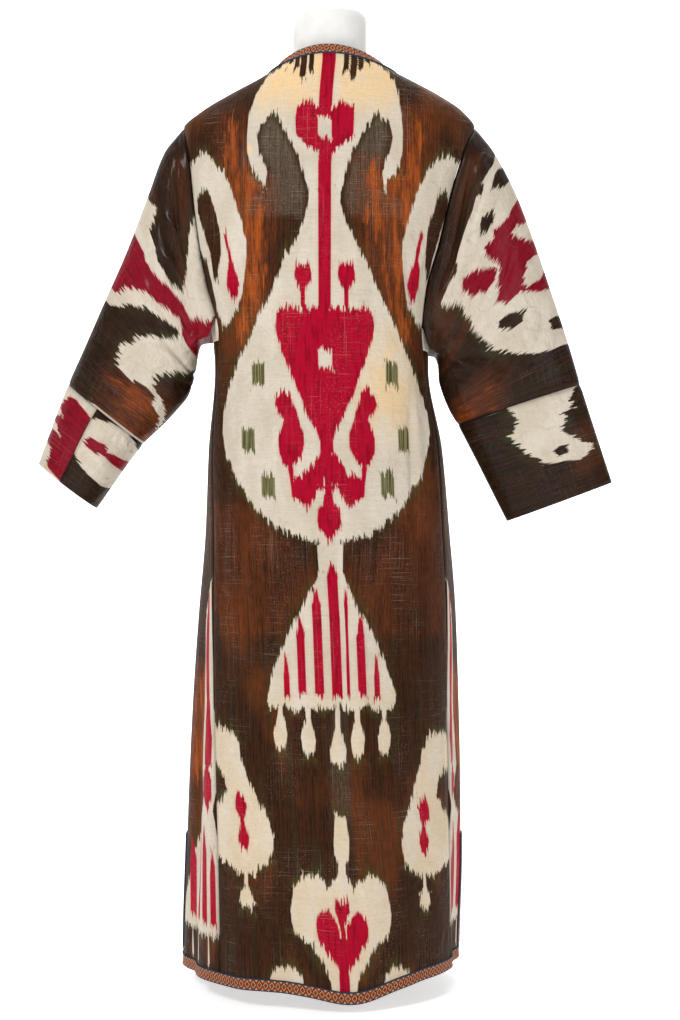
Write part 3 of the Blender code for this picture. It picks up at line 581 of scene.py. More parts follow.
def make_ikat(name, crinkle, gloss, dark_dye_shade):
    """Ikat cloth; crinkle is the height of its fine creases, in metres, and gloss how glazed it is.
    The last argument is the share of painted shade that darkens the dark dyes."""
    material, tree, shader = new_material(name)
    place_on_cloth = node(tree, "UVMap", uv_map="cloth").outputs[0]
    split = node(tree, "SeparateXYZ", {0: place_on_cloth}).outputs
    across, along = split[0], split[1]
    depth = node(tree, "Attribute", attribute_name="dye").outputs
    change = node(tree, "Attribute", attribute_name="dye_change").outputs
    stains_and_light = node(tree, "SeparateColor", {
        0: node(tree, "Attribute", attribute_name="stains_and_painted_light").outputs["Color"]}).outputs
    in_cream, in_red, in_olive = node(tree, "SeparateColor", {0: depth["Color"]}).outputs
    by_cream, by_red, by_olive = node(tree, "SeparateColor", {0: change["Color"]}).outputs
    in_rust, by_rust = depth["Alpha"], change["Alpha"]
    shift = warp_shift(tree, across, along, 1.7)
    other_shift = warp_shift(tree, across, along, 23.9)

    def shape(distance, rate, slip, edge=CRISP_EDGE):
        """Share inside a shape. Its edge is crisp across the warp and blurred along it."""
        moved = maths(tree, "MULTIPLY_ADD", slip, rate, distance)
        blur = maths(tree, "MULTIPLY_ADD", maths(tree, "ABSOLUTE", rate), BLUR_ALONG, edge)
        return soft(tree, maths(tree, "DIVIDE", moved, blur), -1.0, 1.0), moved

    cream, cream_depth = shape(in_cream, by_cream, shift)
    red, red_depth = shape(in_red, by_red, other_shift)
    olive, _ = shape(in_olive, by_olive, other_shift, SOFT_EDGE)
    blotch = noise(tree, across, along, 80.0, 17.0, 19.0, 3.0)
    frayed = noise(tree, across, along, 330.0, 42.0, 21.0, 1.0)
    ragged = maths(tree, "ADD", maths(tree, "MULTIPLY_ADD", blotch, 0.042, -0.022),
                   maths(tree, "MULTIPLY_ADD", frayed, 0.026, -0.014))
    rust_slip = maths(tree, "MULTIPLY", other_shift, 2.5)
    rust, _ = shape(maths(tree, "ADD", in_rust, ragged), by_rust, rust_slip, RUST_EDGE)

    # The brown field: long streaks of several dyes that run along the warp.
    long_streak = noise(tree, across, along, 620.0, 9.0, 4.0, 2.0)
    short_streak = noise(tree, across, along, 760.0, 70.0, 6.0, 2.0)
    streak = maths(tree, "MULTIPLY_ADD", long_streak, 0.55, maths(tree, "MULTIPLY", short_streak, 0.45))
    wide_streak = noise(tree, across, along, 70.0, 4.0, 9.0, 2.0)
    cloud = noise(tree, across, along, 11.0, 6.0, 14.0, 2.0)
    field = mix(tree, soft(tree, streak, 0.30, 0.72), DARK_BROWN, WARM_BROWN)
    field = mix(tree, maths(tree, "MULTIPLY", soft(tree, cloud, 0.50, 0.66), 0.75), field,
                mix(tree, soft(tree, streak, 0.3, 0.7), WARM_BROWN, RED_BROWN))
    field = mix(tree, maths(tree, "MULTIPLY", soft(tree, wide_streak, 0.56, 0.68), 0.65), field,
                GREEN_BROWN)
    # The smoky tone and the painted drape highlight lighten the field towards a grey brown.
    field = mix(tree, maths(tree, "MULTIPLY", stains_and_light[1], soft(tree, streak, 0.2, 0.7)), field, SMOKE_AND_HIGHLIGHT)
    rust_colour = mix(tree, soft(tree, streak, 0.35, 0.66), DARK_RUST, RUST)
    warm = maths(tree, "MULTIPLY", soft(tree, in_rust, -0.034, -0.004), soft(tree, cloud, 0.26, 0.52))
    ember = mix(tree, soft(tree, streak, 0.3, 0.7), EMBER, BRIGHT_EMBER)
    field = mix(tree, maths(tree, "MULTIPLY", warm, 0.55), field, ember)
    patches = maths(tree, "MULTIPLY", soft(tree, blotch, 0.38, 0.58), soft(tree, wide_streak, 0.68, 0.50))
    rust_share = maths(tree, "MULTIPLY", rust, maths(tree, "MULTIPLY_ADD", patches, 0.74, 0.20))
    field = mix(tree, rust_share, field, rust_colour)
    change_size = maths(tree, "ABSOLUTE", by_cream)
    fringe = maths(tree, "MULTIPLY", soft(tree, cream_depth, -0.017, -0.002),
                   soft(tree, change_size, 0.30, 0.80))
    olive_threads = soft(tree, noise(tree, across, along, 500.0, 12.0, 31.0), 0.35, 0.60)
    fringe_streak = maths(tree, "MULTIPLY", fringe, olive_threads)
    field = mix(tree, maths(tree, "MULTIPLY", fringe_streak, 0.78), field, OLIVE)

    # The undyed cream, with its ochre stains and uneven threads.
    slub = noise(tree, across, along, 150.0, 900.0, 40.0, 2.0)
    tone = noise(tree, across, along, 30.0, 14.0, 44.0, 3.0)
    pale = mix(tree, soft(tree, tone, 0.35, 0.68), CREAM, OLD_CREAM)
    pale = mix(tree, maths(tree, "MULTIPLY", soft(tree, slub, 0.52, 0.70), 0.30), pale, SLUB_SHADE)
    stain = maths(tree, "MULTIPLY", stains_and_light[0], soft(tree, tone, 0.20, 0.60))
    pale = mix(tree, maths(tree, "MULTIPLY", stain, 0.75), pale, OCHRE)
    blush = maths(tree, "MULTIPLY", soft(tree, red_depth, -0.006, 0.0), 0.16)
    pale = mix(tree, blush, pale, BLUSH)

    ruby = mix(tree, soft(tree, noise(tree, across, along, 240.0, 30.0, 50.0, 3.0), 0.28, 0.56),
               DEEP_RED, CRIMSON)
    leaf = mix(tree, soft(tree, noise(tree, across, along, 700.0, 10.0, 60.0), 0.42, 0.58),
               OLIVE, PALE_OLIVE)
    colour = mix(tree, cream, field, pale)
    colour = mix(tree, olive, colour, leaf)
    colour = mix(tree, red, colour, ruby)

    # Painted glints: pale specks on the dark dyes stand in for highlights on small crinkles, and pale
    # lines show where a weft thread or a lost warp thread comes up.
    dark = maths(tree, "SUBTRACT", 1.0, maths(tree, "MULTIPLY", cream, maths(tree, "SUBTRACT", 1.0, red)))
    painted_glint_speck = soft(tree, noise(tree, across, along, 260.0, 1500.0, 70.0, 2.0), 0.62, 0.76)
    pale_thread = soft(tree, noise(tree, across, along, 1300.0, 7.0, 74.0, 1.0), 0.66, 0.78)
    patchy = maths(tree, "MAXIMUM",
                   soft(tree, noise(tree, across, along, 22.0, 9.0, 77.0, 1.0), 0.40, 0.66), stains_and_light[1])
    pale_weft = soft(tree, noise(tree, across, along, 16.0, 1200.0, 79.0, 1.0), 0.62, 0.78)
    threads = maths(tree, "MAXIMUM", maths(tree, "MULTIPLY", pale_thread, 0.7),
                    maths(tree, "MULTIPLY", pale_weft, 0.6))
    glints_and_threads = maths(tree, "MULTIPLY", maths(tree, "MAXIMUM", painted_glint_speck, threads), patchy)
    glint_and_thread_share = maths(tree, "MULTIPLY", maths(tree, "MULTIPLY", glints_and_threads, dark),
                        maths(tree, "MULTIPLY_ADD", stains_and_light[1], 0.20, 0.36))
    colour = mix(tree, glint_and_thread_share, colour, GLINT_AND_THREAD)

    # The weave: fine threads both ways and wider ribs shade the cloth, and painted shade darkens
    # the cloth along its seams.
    thread = noise(tree, across, along, 2400.0, 60.0, 80.0, 1.0)
    weft = noise(tree, across, along, 90.0, 1500.0, 84.0, 1.0)
    rib = noise(tree, across, along, 26.0, 420.0, 88.0, 2.0)
    grain = maths(tree, "ADD", maths(tree, "MULTIPLY", thread, 0.5), maths(tree, "MULTIPLY", weft, 0.5))
    shade = maths(tree, "MULTIPLY_ADD", grain, 0.50, maths(tree, "MULTIPLY_ADD", rib, 0.18, 0.67))
    # Painted shade: up to 30 percent darker where the cloth sinks into a seam.
    seam_shade = maths(tree, "MULTIPLY_ADD", stains_and_light[2], -0.30, 1.0)
    shade = maths(tree, "MULTIPLY", shade, seam_shade)
    # Painted shade: the last argument darkens the dark dyes, which gives the sleeves a deeper look.
    shade = maths(tree, "MULTIPLY", shade, maths(tree, "MULTIPLY_ADD", dark, -dark_dye_shade, 1.0))
    shade_colour = node(tree, "CombineColor", {0: shade, 1: shade, 2: shade}).outputs[0]
    colour = mix(tree, 1.0, colour, shade_colour, "MULTIPLY")
    tree.links.new(colour, shader.inputs["Base Color"])

    rough = maths(tree, "MULTIPLY_ADD", tone, 0.22, 0.46)
    tree.links.new(maths(tree, "MULTIPLY_ADD", thread, 0.10, rough), shader.inputs["Roughness"])
    shader.inputs["Specular IOR Level"].default_value = 0.04 + 0.5 * gloss
    shader.inputs["Coat Weight"].default_value = gloss
    shader.inputs["Coat Roughness"].default_value = 0.18

    # Small wrinkles in space, with sharp lines where one noise crosses its middle value.
    around = node(tree, "TexCoord").outputs["Object"]
    wrinkle = node(tree, "TexNoise", {"Vector": around, "Scale": 48.0, "Detail": 3.0,
                                      "Distortion": 0.8}).outputs["Fac"]
    crossed = node(tree, "TexNoise", {"Vector": around, "Scale": 11.0, "Detail": 2.0,
                                      "Distortion": 1.6}).outputs["Fac"]
    sharp = maths(tree, "ABSOLUTE", maths(tree, "SUBTRACT", crossed, 0.5))
    creases = maths(tree, "ADD", wrinkle, maths(tree, "MULTIPLY", soft(tree, sharp, 0.0, 0.09), 0.12))
    weave = node(tree, "Bump", {"Height": grain, "Strength": 0.5, "Distance": 0.0003}).outputs[0]
    bump = node(tree, "Bump", {"Height": creases, "Strength": 1.0, "Distance": crinkle,
                               "Normal": weave}).outputs[0]
    tree.links.new(bump, shader.inputs["Normal"])
    return material


ikat = make_ikat("ikat", 0.0028, 0.02, 0.0)
print("ikat nodes:", len(ikat.node_tree.nodes))

# %% [markdown]
# ## Drawing the pattern
# The pattern is a set of traditional shapes that mirror about the middle thread: an arch with a
# stripe, pear-shaped medallion, heart, curls, a striped triangle amulet with tassels, and almond
# shapes with hooks. Each is a short table of its own widths by height, in centimetres. A shape
# gives how far a point lies inside it; joining takes the larger of two distances, cutting takes
# the smaller of one and the other's negative.

# %% Shapes and their joining
CM = 0.01
OUTSIDE = -1.0


def band(across, height, rows):
    """Distance inside a shape between an inner and an outer edge, both read from rows of
    (height, inner, outer) in centimetres, and between its first and last height."""
    rows = np.array(sorted(rows)) * CM
    inner = np.interp(height, rows[:, 0], rows[:, 1])
    outer = np.interp(height, rows[:, 0], rows[:, 2])
    ends = np.minimum(height - rows[0, 0], rows[-1, 0] - height)
    return np.minimum(np.minimum(across - inner, outer - across), ends)


def middle_band(across, height, rows):
    """The same for a shape that lies across the middle thread: rows of (height, half width)."""
    return band(across, height, [(level, -50.0, width) for level, width in rows])


def spot(across, height, at_across, at_height, half_width, half_height):
    """Distance inside an oval: its smaller radius times one minus the scaled distance."""
    far = np.hypot((across / CM - at_across) / half_width, (height / CM - at_height) / half_height)
    return (1 - far) * min(half_width, half_height) * CM


def patch(across, height, corners):
    """Distance inside a shape with straight sides between its corners, in centimetres."""
    corners = np.array(corners, float) * CM
    nearest = np.full(across.shape, np.inf)
    inside = np.zeros(across.shape, bool)
    for (x0, y0), (x1, y1) in zip(corners, np.roll(corners, -1, axis=0)):
        dx, dy = x1 - x0, y1 - y0
        share = np.clip(((across - x0) * dx + (height - y0) * dy) / (dx * dx + dy * dy), 0, 1)
        nearest = np.minimum(nearest, np.hypot(across - x0 - share * dx, height - y0 - share * dy))
        crosses = ((y0 > height) != (y1 > height)) & (
            across < x0 + (height - y0) * dx / (dy if abs(dy) > 1e-9 else 1e-9))
        inside ^= crosses
    return np.where(inside, nearest, -nearest)


def join(*shapes):
    """Inside any of the shapes: the largest distance."""
    return np.maximum.reduce(shapes)


def cut(shape, *holes):
    """Inside the shape and outside every hole: the smallest of its distance and theirs turned."""
    return np.minimum.reduce([shape] + [-hole for hole in holes])


# %% Tables of the main pattern, in centimetres
ARCH = ((130.8, 5.0), (129.6, 6.0), (128.2, 8.6), (127.0, 9.3), (125.3, 10.1), (122.2, 10.7),
        (119.5, 10.9), (116.8, 10.9), (115.4, 10.5), (113.8, 9.6), (112.6, 8.6), (111.6, 8.2))
HORN = ((122.4, 6.9, 7.4), (121.0, 6.1, 9.1), (119.4, 5.1, 9.5), (117.0, 3.9, 9.2), (115.6, 3.4, 8.4),
        (114.2, 3.0, 8.0), (111.8, 2.3, 8.3), (109.8, 2.3, 12.0), (107.4, 2.8, 12.0))
PEAR = ((112.2, 2.2), (110.0, 2.2), (107.4, 2.8), (104.6, 4.1), (102.0, 5.7), (97.6, 7.4), (95.0, 8.7),
        (92.2, 10.3), (89.6, 11.8), (87.8, 13.1), (84.4, 15.1), (81.0, 16.4), (78.2, 16.5), (75.2, 15.7),
        (71.8, 13.8), (69.0, 11.6), (66.8, 9.6), (65.2, 7.6), (63.9, 5.4), (63.2, 3.0), (62.8, 1.8),
        (59.0, 1.75))
SIDE_ALMOND = ((117.1, 17.1, 18.2), (116.0, 15.9, 20.6), (114.3, 14.4, 23.2), (111.8, 13.2, 24.5),
               (107.3, 11.8, 23.6), (104.4, 11.0, 21.6), (102.1, 11.0, 18.2), (98.3, 11.6, 17.6),
               (95.5, 12.4, 17.0), (93.1, 14.6, 15.8))
SIDE_HOOK = ((112.0, 17.3, 18.5), (110.9, 16.6, 19.4), (108.9, 15.9, 19.6), (106.0, 15.1, 18.3),
             (103.1, 15.2, 17.3), (99.6, 16.2, 17.0))
SIDE_DROP = ((105.8, 13.9, 14.5), (101.9, 13.1, 13.8), (100.6, 12.6, 14.2), (98.6, 12.2, 14.4),
             (96.6, 13.0, 13.6))
SIDE_RUST = ((121.4, 12.4, 13.4), (117.6, 11.8, 14.0), (114.6, 11.0, 14.2), (113.6, 9.0, 14.5),
             (109.0, 8.6, 14.0), (104.8, 8.3, 12.2), (100.6, 8.4, 11.7), (96.5, 9.3, 12.4),
             (91.0, 10.6, 13.0))
HORN_RUST = ((114.6, 6.4, 9.4), (112.0, 5.8, 9.6), (107.6, 5.7, 9.6), (106.8, 6.6, 9.6), (102.0, 7.0, 9.0))
SKIRT_RUST = ((66.0, 12.0, 19.0), (62.0, 7.0, 20.0), (58.0, 4.0, 20.0), (55.0, 6.0, 19.0),
              (52.5, 9.0, 16.0))
TWO_LOBES = ((123.6, 2.0, 3.0), (122.9, 1.2, 3.9), (122.0, 0.0, 4.1), (119.2, -1.0, 4.0),
             (118.4, -1.0, 3.2), (117.6, -1.0, 1.9), (116.8, -1.0, 1.1), (115.8, -1.0, 0.9))
STEM_SPOTS = ((101.2, 2.2, 3.9), (100.2, 1.8, 4.2), (99.0, 1.9, 4.1), (97.9, 2.5, 3.5), (97.4, 2.7, 3.3),
              (94.4, 2.7, 3.3))
HEART = ((95.2, 5.8), (94.6, 6.7), (92.8, 6.9), (91.8, 6.8), (90.0, 6.3), (88.6, 5.9), (87.2, 5.3),
         (85.2, 4.5), (83.0, 3.7), (81.0, 2.8), (79.6, 2.1), (78.2, 1.4), (76.8, 0.9), (74.8, 0.9))
RED_CURL = ((83.8, 5.4, 6.1), (82.8, 4.7, 7.0), (81.8, 4.5, 7.1), (80.6, 4.1, 6.5), (79.6, 3.7, 5.8),
            (78.6, 3.4, 6.2), (77.4, 3.1, 6.7), (76.0, 3.1, 6.7), (74.8, 3.4, 6.6), (73.8, 4.2, 6.2),
            (73.2, 4.7, 5.5), (70.4, 4.7, 5.1))
ANCHOR = ((75.4, 0.9), (74.6, 1.2), (73.8, 1.8), (73.0, 2.4), (72.0, 3.4), (71.4, 4.7), (70.6, 5.1),
          (69.0, 5.0), (68.2, 3.9), (67.6, 2.9))
ANCHOR_GAP = ((70.3, 0.9, 1.0), (69.6, 0.62, 1.5), (68.6, 0.62, 2.1), (67.2, 0.62, 3.1))
ANCHOR_TIP = ((71.0, 0.62), (69.0, 0.62), (68.0, 0.8), (67.3, 1.5), (65.6, 1.65), (64.6, 1.3),
              (63.8, 0.6), (63.2, 0.15))
OLIVE_SPOTS = ((9.6, 86.0), (11.3, 77.0), (8.4, 70.6))
AMULET = ((59.2, 1.75), (58.0, 2.1), (56.8, 2.9), (53.8, 4.5), (51.4, 5.9), (49.1, 7.2), (46.8, 8.2),
          (44.4, 9.1), (42.3, 9.7), (41.1, 9.7), (40.6, 9.2))
AMULET_STRIPES = ((0.0, 0.72, 60.0, 42.0), (2.4, 0.62, 56.4, 42.2), (4.75, 0.55, 52.2, 42.4),
                  (6.9, 0.42, 47.0, 42.0))
TASSELS = ((0.0, 1.15, 33.2), (4.0, 1.0, 34.6), (7.9, 1.0, 35.0))
LOW_ALMOND = ((36.9, 16.0, 19.9), (34.9, 14.3, 22.4), (33.3, 14.0, 23.4), (30.7, 12.9, 23.7),
              (27.6, 11.5, 23.3), (24.7, 10.0, 22.2), (22.7, 9.4, 21.9), (21.3, 9.5, 21.5),
              (19.4, 10.2, 20.0), (18.6, 11.2, 17.4), (17.8, 12.3, 15.0))
LOW_HOOK = ((31.8, 18.8, 21.5), (30.0, 17.3, 23.0), (28.6, 16.9, 23.4), (26.9, 18.1, 23.9),
            (25.2, 20.6, 24.2))
LOW_DUMBBELL = ((28.3, 13.6, 14.8), (26.9, 13.1, 15.2), (25.6, 13.4, 15.1), (24.7, 13.6, 14.2),
                (23.8, 13.2, 14.3), (22.5, 12.8, 14.7), (21.6, 12.9, 14.5), (20.8, 13.4, 14.0))
LOW_DROP = ((18.4, 13.1, 13.6), (15.9, 13.1, 13.7), (15.2, 12.5, 14.3), (14.0, 12.3, 14.4),
            (13.2, 12.8, 13.9))
SMALL_DROP = ((26.4, 0.7), (23.0, 1.05), (20.9, 1.0), (19.8, 0.5), (18.4, 0.5), (17.2, 1.3), (16.4, 2.6),
              (15.0, 3.0))
LOW_HEART = ((18.2, 3.4, 5.0), (17.2, 2.2, 6.0), (16.4, 0.6, 6.5), (15.8, -1.0, 6.6), (15.0, -1.0, 6.7),
             (13.1, -1.0, 7.0), (11.8, -1.0, 6.9), (10.7, -1.0, 6.5), (9.5, -1.0, 4.3), (7.3, -1.0, 2.9),
             (5.5, -1.0, 1.8), (1.0, -1.0, 1.4))
LOW_RED_HEART = ((13.9, 1.7, 2.6), (13.1, 1.1, 3.3), (12.2, 0.6, 3.5), (11.2, 0.1, 3.45),
                 (10.4, -1.0, 3.3), (9.1, -1.0, 2.3), (7.7, -1.0, 1.1), (6.6, -1.0, 0.7),
                 (1.0, -1.0, 0.7))
TULIP = ((15.3, 0.9), (14.0, 1.0), (13.0, 0.6), (12.4, 0.3), (10.4, 0.3))
HEM_ARC = ((6.0, 6.6, 8.2), (5.2, 5.9, 9.4), (3.7, 5.2, 10.6), (1.0, 4.6, 11.4))
TUFTS = ((2.1, 2.8, 127.2), (3.1, 4.0, 126.4), (4.2, 4.9, 127.8), (5.2, 5.9, 128.6))
print("rows in the pattern's tables:", len(PEAR) + len(HEART) + len(AMULET) + len(LOW_ALMOND))

# %% The main pattern as distances
def main_pattern(across, height):
    """Distances inside the cream, red, olive and rust shapes for a whole loom width. across is
    measured from the middle thread, and both halves are the same but for a slight slant."""
    height = height + 0.045 * across * smooth_step(0.60, 0.20, height)
    side = np.abs(across)
    args = (side, height)
    tassels = [part for at, width, foot in TASSELS for part in (
        band(*args, [(41.0, at - 0.34, at + 0.34), (foot + 2.6, at - 0.34, at + 0.34)]),
        band(*args, [(foot + 4.4, at - 0.34, at + 0.34), (foot + 2.9, at - width * 0.8, at + width * 0.8),
                     (foot + 1.9, at - width, at + width), (foot + 0.4, at - width * 0.8, at + width * 0.8),
                     (foot - 0.3, at - width * 0.5, at + width * 0.5)]))]
    arch = cut(middle_band(*args, ARCH), band(*args, HORN))
    almond = cut(band(*args, SIDE_ALMOND), band(*args, SIDE_HOOK))
    low_almond = cut(band(*args, LOW_ALMOND), band(*args, LOW_HOOK))
    cream = join(arch, middle_band(*args, PEAR), almond, middle_band(*args, AMULET), *tassels, low_almond,
                 band(*args, LOW_DROP), middle_band(*args, SMALL_DROP), band(*args, LOW_HEART),
                 band(*args, HEM_ARC))
    cream = cut(cream, *[band(*args, [(132.0, start, end), (foot, start, end)])
                         for start, end, foot in TUFTS])
    stripes = [band(*args, [(top + 0.2, at - width * 0.3, at + width * 0.3),
                            (top - 2.0, at - width, at + width),
                            (foot, at - width, at + width)]) for at, width, top, foot in AMULET_STRIPES]
    long_stripe = middle_band(*args, [(132.0, 0.95), (95.0, 0.85), (94.0, 0.85)])
    lobes = cut(join(band(*args, TWO_LOBES), long_stripe),
                middle_band(*args, [(121.8, 0.95), (119.0, 0.95)]))
    heart = cut(middle_band(*args, HEART), middle_band(*args, [(89.2, 0.95), (86.8, 0.95)]))
    anchor = cut(middle_band(*args, ANCHOR), band(*args, ANCHOR_GAP))
    red = join(lobes, band(*args, STEM_SPOTS), heart, band(*args, RED_CURL), anchor,
               middle_band(*args, ANCHOR_TIP), band(*args, SIDE_DROP), *stripes,
               band(*args, LOW_DUMBBELL), band(*args, LOW_RED_HEART), middle_band(*args, TULIP))
    olive = join(*[band(*args, [(up - 1.6, at - 1.0, at + 1.0), (up + 1.6, at - 1.0, at + 1.0)])
                   for at, up in OLIVE_SPOTS])
    rust = join(band(*args, SIDE_RUST), band(across, height, HORN_RUST),
                np.minimum(band(*args, SKIRT_RUST), -0.016))
    return np.stack([cream, red, olive, rust], axis=-1)


def dye_values(pattern, across, along):
    """The distances at each point, and their change for each metre along the warp."""
    step = 0.0025
    depth = pattern(across, along)
    change = (pattern(across, along + step) - pattern(across, along - step)) / (2 * step)
    return {"cloth": np.stack([across, along], axis=-1), "dye": depth, "dye_change": change}


# %% [markdown]
# ## Cutting the back, fronts and gores
# Each panel is a grid on the body's surface between its cut edges. Where it is sewn to its
# neighbour the cloth sinks a millimetre, as a turned seam does. A sheet of cloth has to keep the
# area that it was cut with.

# %% Panel builder
SEAM_SINK = 0.0013
SEAM_REACH = 0.0035
ROW_STEP = 0.0042
BACK_COLUMNS, FRONT_COLUMNS, GORE_COLUMNS, GUSSET_COLUMNS = 132, 58, 26, 24

levels = np.unique(np.round(np.concatenate([
    np.linspace(HEM_LEVEL, SHOULDER_TIP, int((SHOULDER_TIP - HEM_LEVEL) / ROW_STEP) + 1),
    np.linspace(SHOULDER_TIP, NECK_LEVEL, 26)]), 6))


def surface_normals(grid, closed=False):
    """Directions square to a grid: the cross product of its row and column steps."""
    up = np.gradient(grid, axis=0)
    if closed:
        beside = np.roll(grid, -1, axis=1) - np.roll(grid, 1, axis=1)
    else:
        beside = np.gradient(grid, axis=1)
    return unit(np.cross(up, beside))


def seam_closeness(distance):
    """1 on the seam and close to 0 a few millimetres away: a bell curve of the distance."""
    return np.exp(-((distance / SEAM_REACH) ** 2))


def lay_cloth(name, outer, sink, values, stains_and_painted_light, closed, flip, material):
    """A finished piece of cloth laid over its solid, which it hides."""
    normal = surface_normals(outer, closed) * (-1 if flip else 1)
    skin = outer - sink[..., None] * normal
    shell = put_wall(name, skin, skin - CLOTH_WALL * normal, {**values, "stains_and_painted_light": stains_and_painted_light}, closed, flip,
                     material)
    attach(shell, "root")
    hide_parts(name.removesuffix("_cloth"))
    return shell


def body_piece(name, rows, arcs, pattern, seams, material, stains_and_highlight=None):
    """A panel of the body. seams says which sides are sewn: first column, last column, last row."""
    level = np.repeat(rows[:, None], arcs.shape[1], axis=1)
    outer = place(level, arcs, creased=True)
    step = np.abs(arcs - arcs[:, :1]), np.abs(arcs - arcs[:, -1:]), np.abs(level - level[-1:])
    close = sum((seam_closeness(d) for d, sewn in zip(step, seams) if sewn), np.zeros(level.shape))
    close = np.clip(close, 0, 1)
    across, along = pattern[1](level, arcs), level
    values = dye_values(pattern[0], across, along)
    ochre, smoke_and_highlight = stains_and_highlight(across, level) if stains_and_highlight else (np.zeros(level.shape), np.zeros(level.shape))
    # Ochre stains, the smoky tone with a painted drape highlight, and painted shade along the seams.
    stains_and_painted_light = np.stack([ochre, smoke_and_highlight, close, np.ones(level.shape)], axis=-1)
    flip = arcs[0, -1] < arcs[0, 0]
    return lay_cloth(f"{name}_cloth", outer, SEAM_SINK * close, values, stains_and_painted_light, False, flip, material)


# %% The back
PATTERN_MIDDLE = np.array(((0.046, -0.0240), (0.118, -0.0205), (0.218, -0.0195), (0.364, -0.0145),
                           (0.424, -0.0140), (0.524, -0.0100), (0.614, -0.0045), (0.686, -0.0015),
                           (0.796, 0.0020), (0.948, 0.0040), (1.218, 0.0040), (1.250, 0.0020),
                           (1.286, -0.0020)))
TUCK = 0.014


def across_back(level, around):
    """Distance from the middle thread towards the robe's right. A drag fold right of the middle
    hides a strip of cloth, so past it the pattern jumps ahead by the strip's width."""
    across = np.interp(level, PATTERN_MIDDLE[:, 0], PATTERN_MIDDLE[:, 1]) - around
    hidden = TUCK * smooth_step(0.640, 0.500, level) * smooth_step(0.120, 0.330, level)
    return across + hidden * smooth_step(0.011, 0.019, across)


def back_stains_and_highlight(across, level):
    """Ochre staining under the collar, beside the heart, in one small mark and faintly near the hem,
    a smoky tone inside the horns, and a paler band down the middle of the skirt that is a painted
    highlight of a soft drape."""
    collar = smooth_step(1.205, 1.258, level) * smooth_step(0.118, 0.085, np.abs(across))
    beside = np.clip(1.4 - np.hypot((across - 0.090) / 0.050, (level - 0.845) / 0.075), 0, 1)
    mark = np.clip(1.6 - np.hypot((across + 0.108) / 0.005, (level - 1.174) / 0.006), 0, 1)
    smoke_and_highlight = smooth_step(0.0, 0.012, band(np.abs(across), level, HORN)) * smooth_step(1.00, 1.13, level)
    skirt_middle = smooth_step(0.44, 0.36, level) * smooth_step(0.20, 0.27, level)
    # Painted highlight: a paler band down the middle of the skirt, where a soft drape catches light.
    painted_drape_highlight = 0.5 * smooth_step(0.026, 0.004, np.abs(across - 0.004)) * skirt_middle
    aged = 0.30 * smooth_step(0.52, 0.30, level)
    ochre = np.clip(collar + 0.75 * beside + 0.9 * mark + aged, 0, 1)
    return ochre, np.maximum(smoke_and_highlight, painted_drape_highlight)


back_arcs = spread(HALF_GAP - seam_arc(levels, RIGHT, True), seam_arc(levels, LEFT, True) - HALF_GAP,
                   BACK_COLUMNS)
body_piece("back", levels, back_arcs, (main_pattern, across_back), (True, True, False), ikat,
           back_stains_and_highlight)

# %% [markdown]
# The fronts are one loom width cut down the middle, so each has half of the same pattern, and the
# middle thread runs down its free edge. The gores are wedges cut from leftovers, where parts of
# other motifs show: red and cream slivers, and a striped triangle.

# %% The fronts
for name, side in SIDES.items():
    def across_front(level, around, side=side):
        """Distance from the front's free edge, where the loom width was cut in two."""
        edge = half_round(level[:, 0], side)[:, None]
        return edge - side * around

    arcs = side * spread(seam_arc(levels, side, False) + HALF_GAP, front_edge(levels, side), FRONT_COLUMNS)
    body_piece(f"front_{name}", levels, arcs, (main_pattern, across_front), (True, False, False), ikat)


# %% The gores
def gore_pattern(across, height):
    """Leftover motifs of a gore: slanting red and cream slivers above, a red diamond, and a
    striped triangle above the hem."""
    ground = band(across, height, [(57.0, 0.6, 1.0), (52.0, 0.4, 3.0), (46.0, 0.2, 3.6), (40.0, 0.2, 3.6),
                                   (35.0, -1.0, 4.6), (31.0, -1.0, 5.2), (27.6, 0.4, 4.0),
                                   (26.0, 0.8, 4.4), (23.5, 0.2, 6.4), (20.0, -1.0, 8.6),
                                   (12.0, -1.0, 12.5), (8.8, -1.0, 13.0)])
    tassels = [band(across, height, [(9.5, at - 0.2, at + 0.2),
                                     (4.6, at - 0.28, at + 0.28)]) for at in (2.6, 6.2, 10.0)]
    sliver = band(across, height, [(56.0, 1.2, 1.4), (52.0, 1.3, 2.4), (47.0, 1.4, 3.0), (41.0, 1.2, 2.4),
                                   (36.0, 0.6, 3.0), (32.0, 1.0, 3.4), (31.0, 1.9, 2.9)])
    diamond = band(across, height, [(31.6, 2.0, 2.8), (30.0, 1.0, 4.2), (27.6, 1.0, 4.0),
                                    (26.4, 1.6, 3.3), (25.6, 2.3, 2.7)])
    stripes = [band(across, height, [(top, at - 0.1, at + 0.3), (top - 3.0, at - width, at + width),
                                     (10.4, at - width, at + width)])
               for at, width, top in ((1.2, 0.65, 20.2), (3.5, 0.75, 23.2), (6.2, 0.9, 24.4),
                                      (9.4, 1.0, 21.0))]
    cream = join(ground, *tassels)
    red = join(sliver, diamond, *stripes)
    olive = np.full(height.shape, OUTSIDE)
    rust = band(across, height, [(44.0, 3.0, 8.0), (30.0, 5.5, 9.5)])
    return np.stack([cream, red, olive, rust], axis=-1)


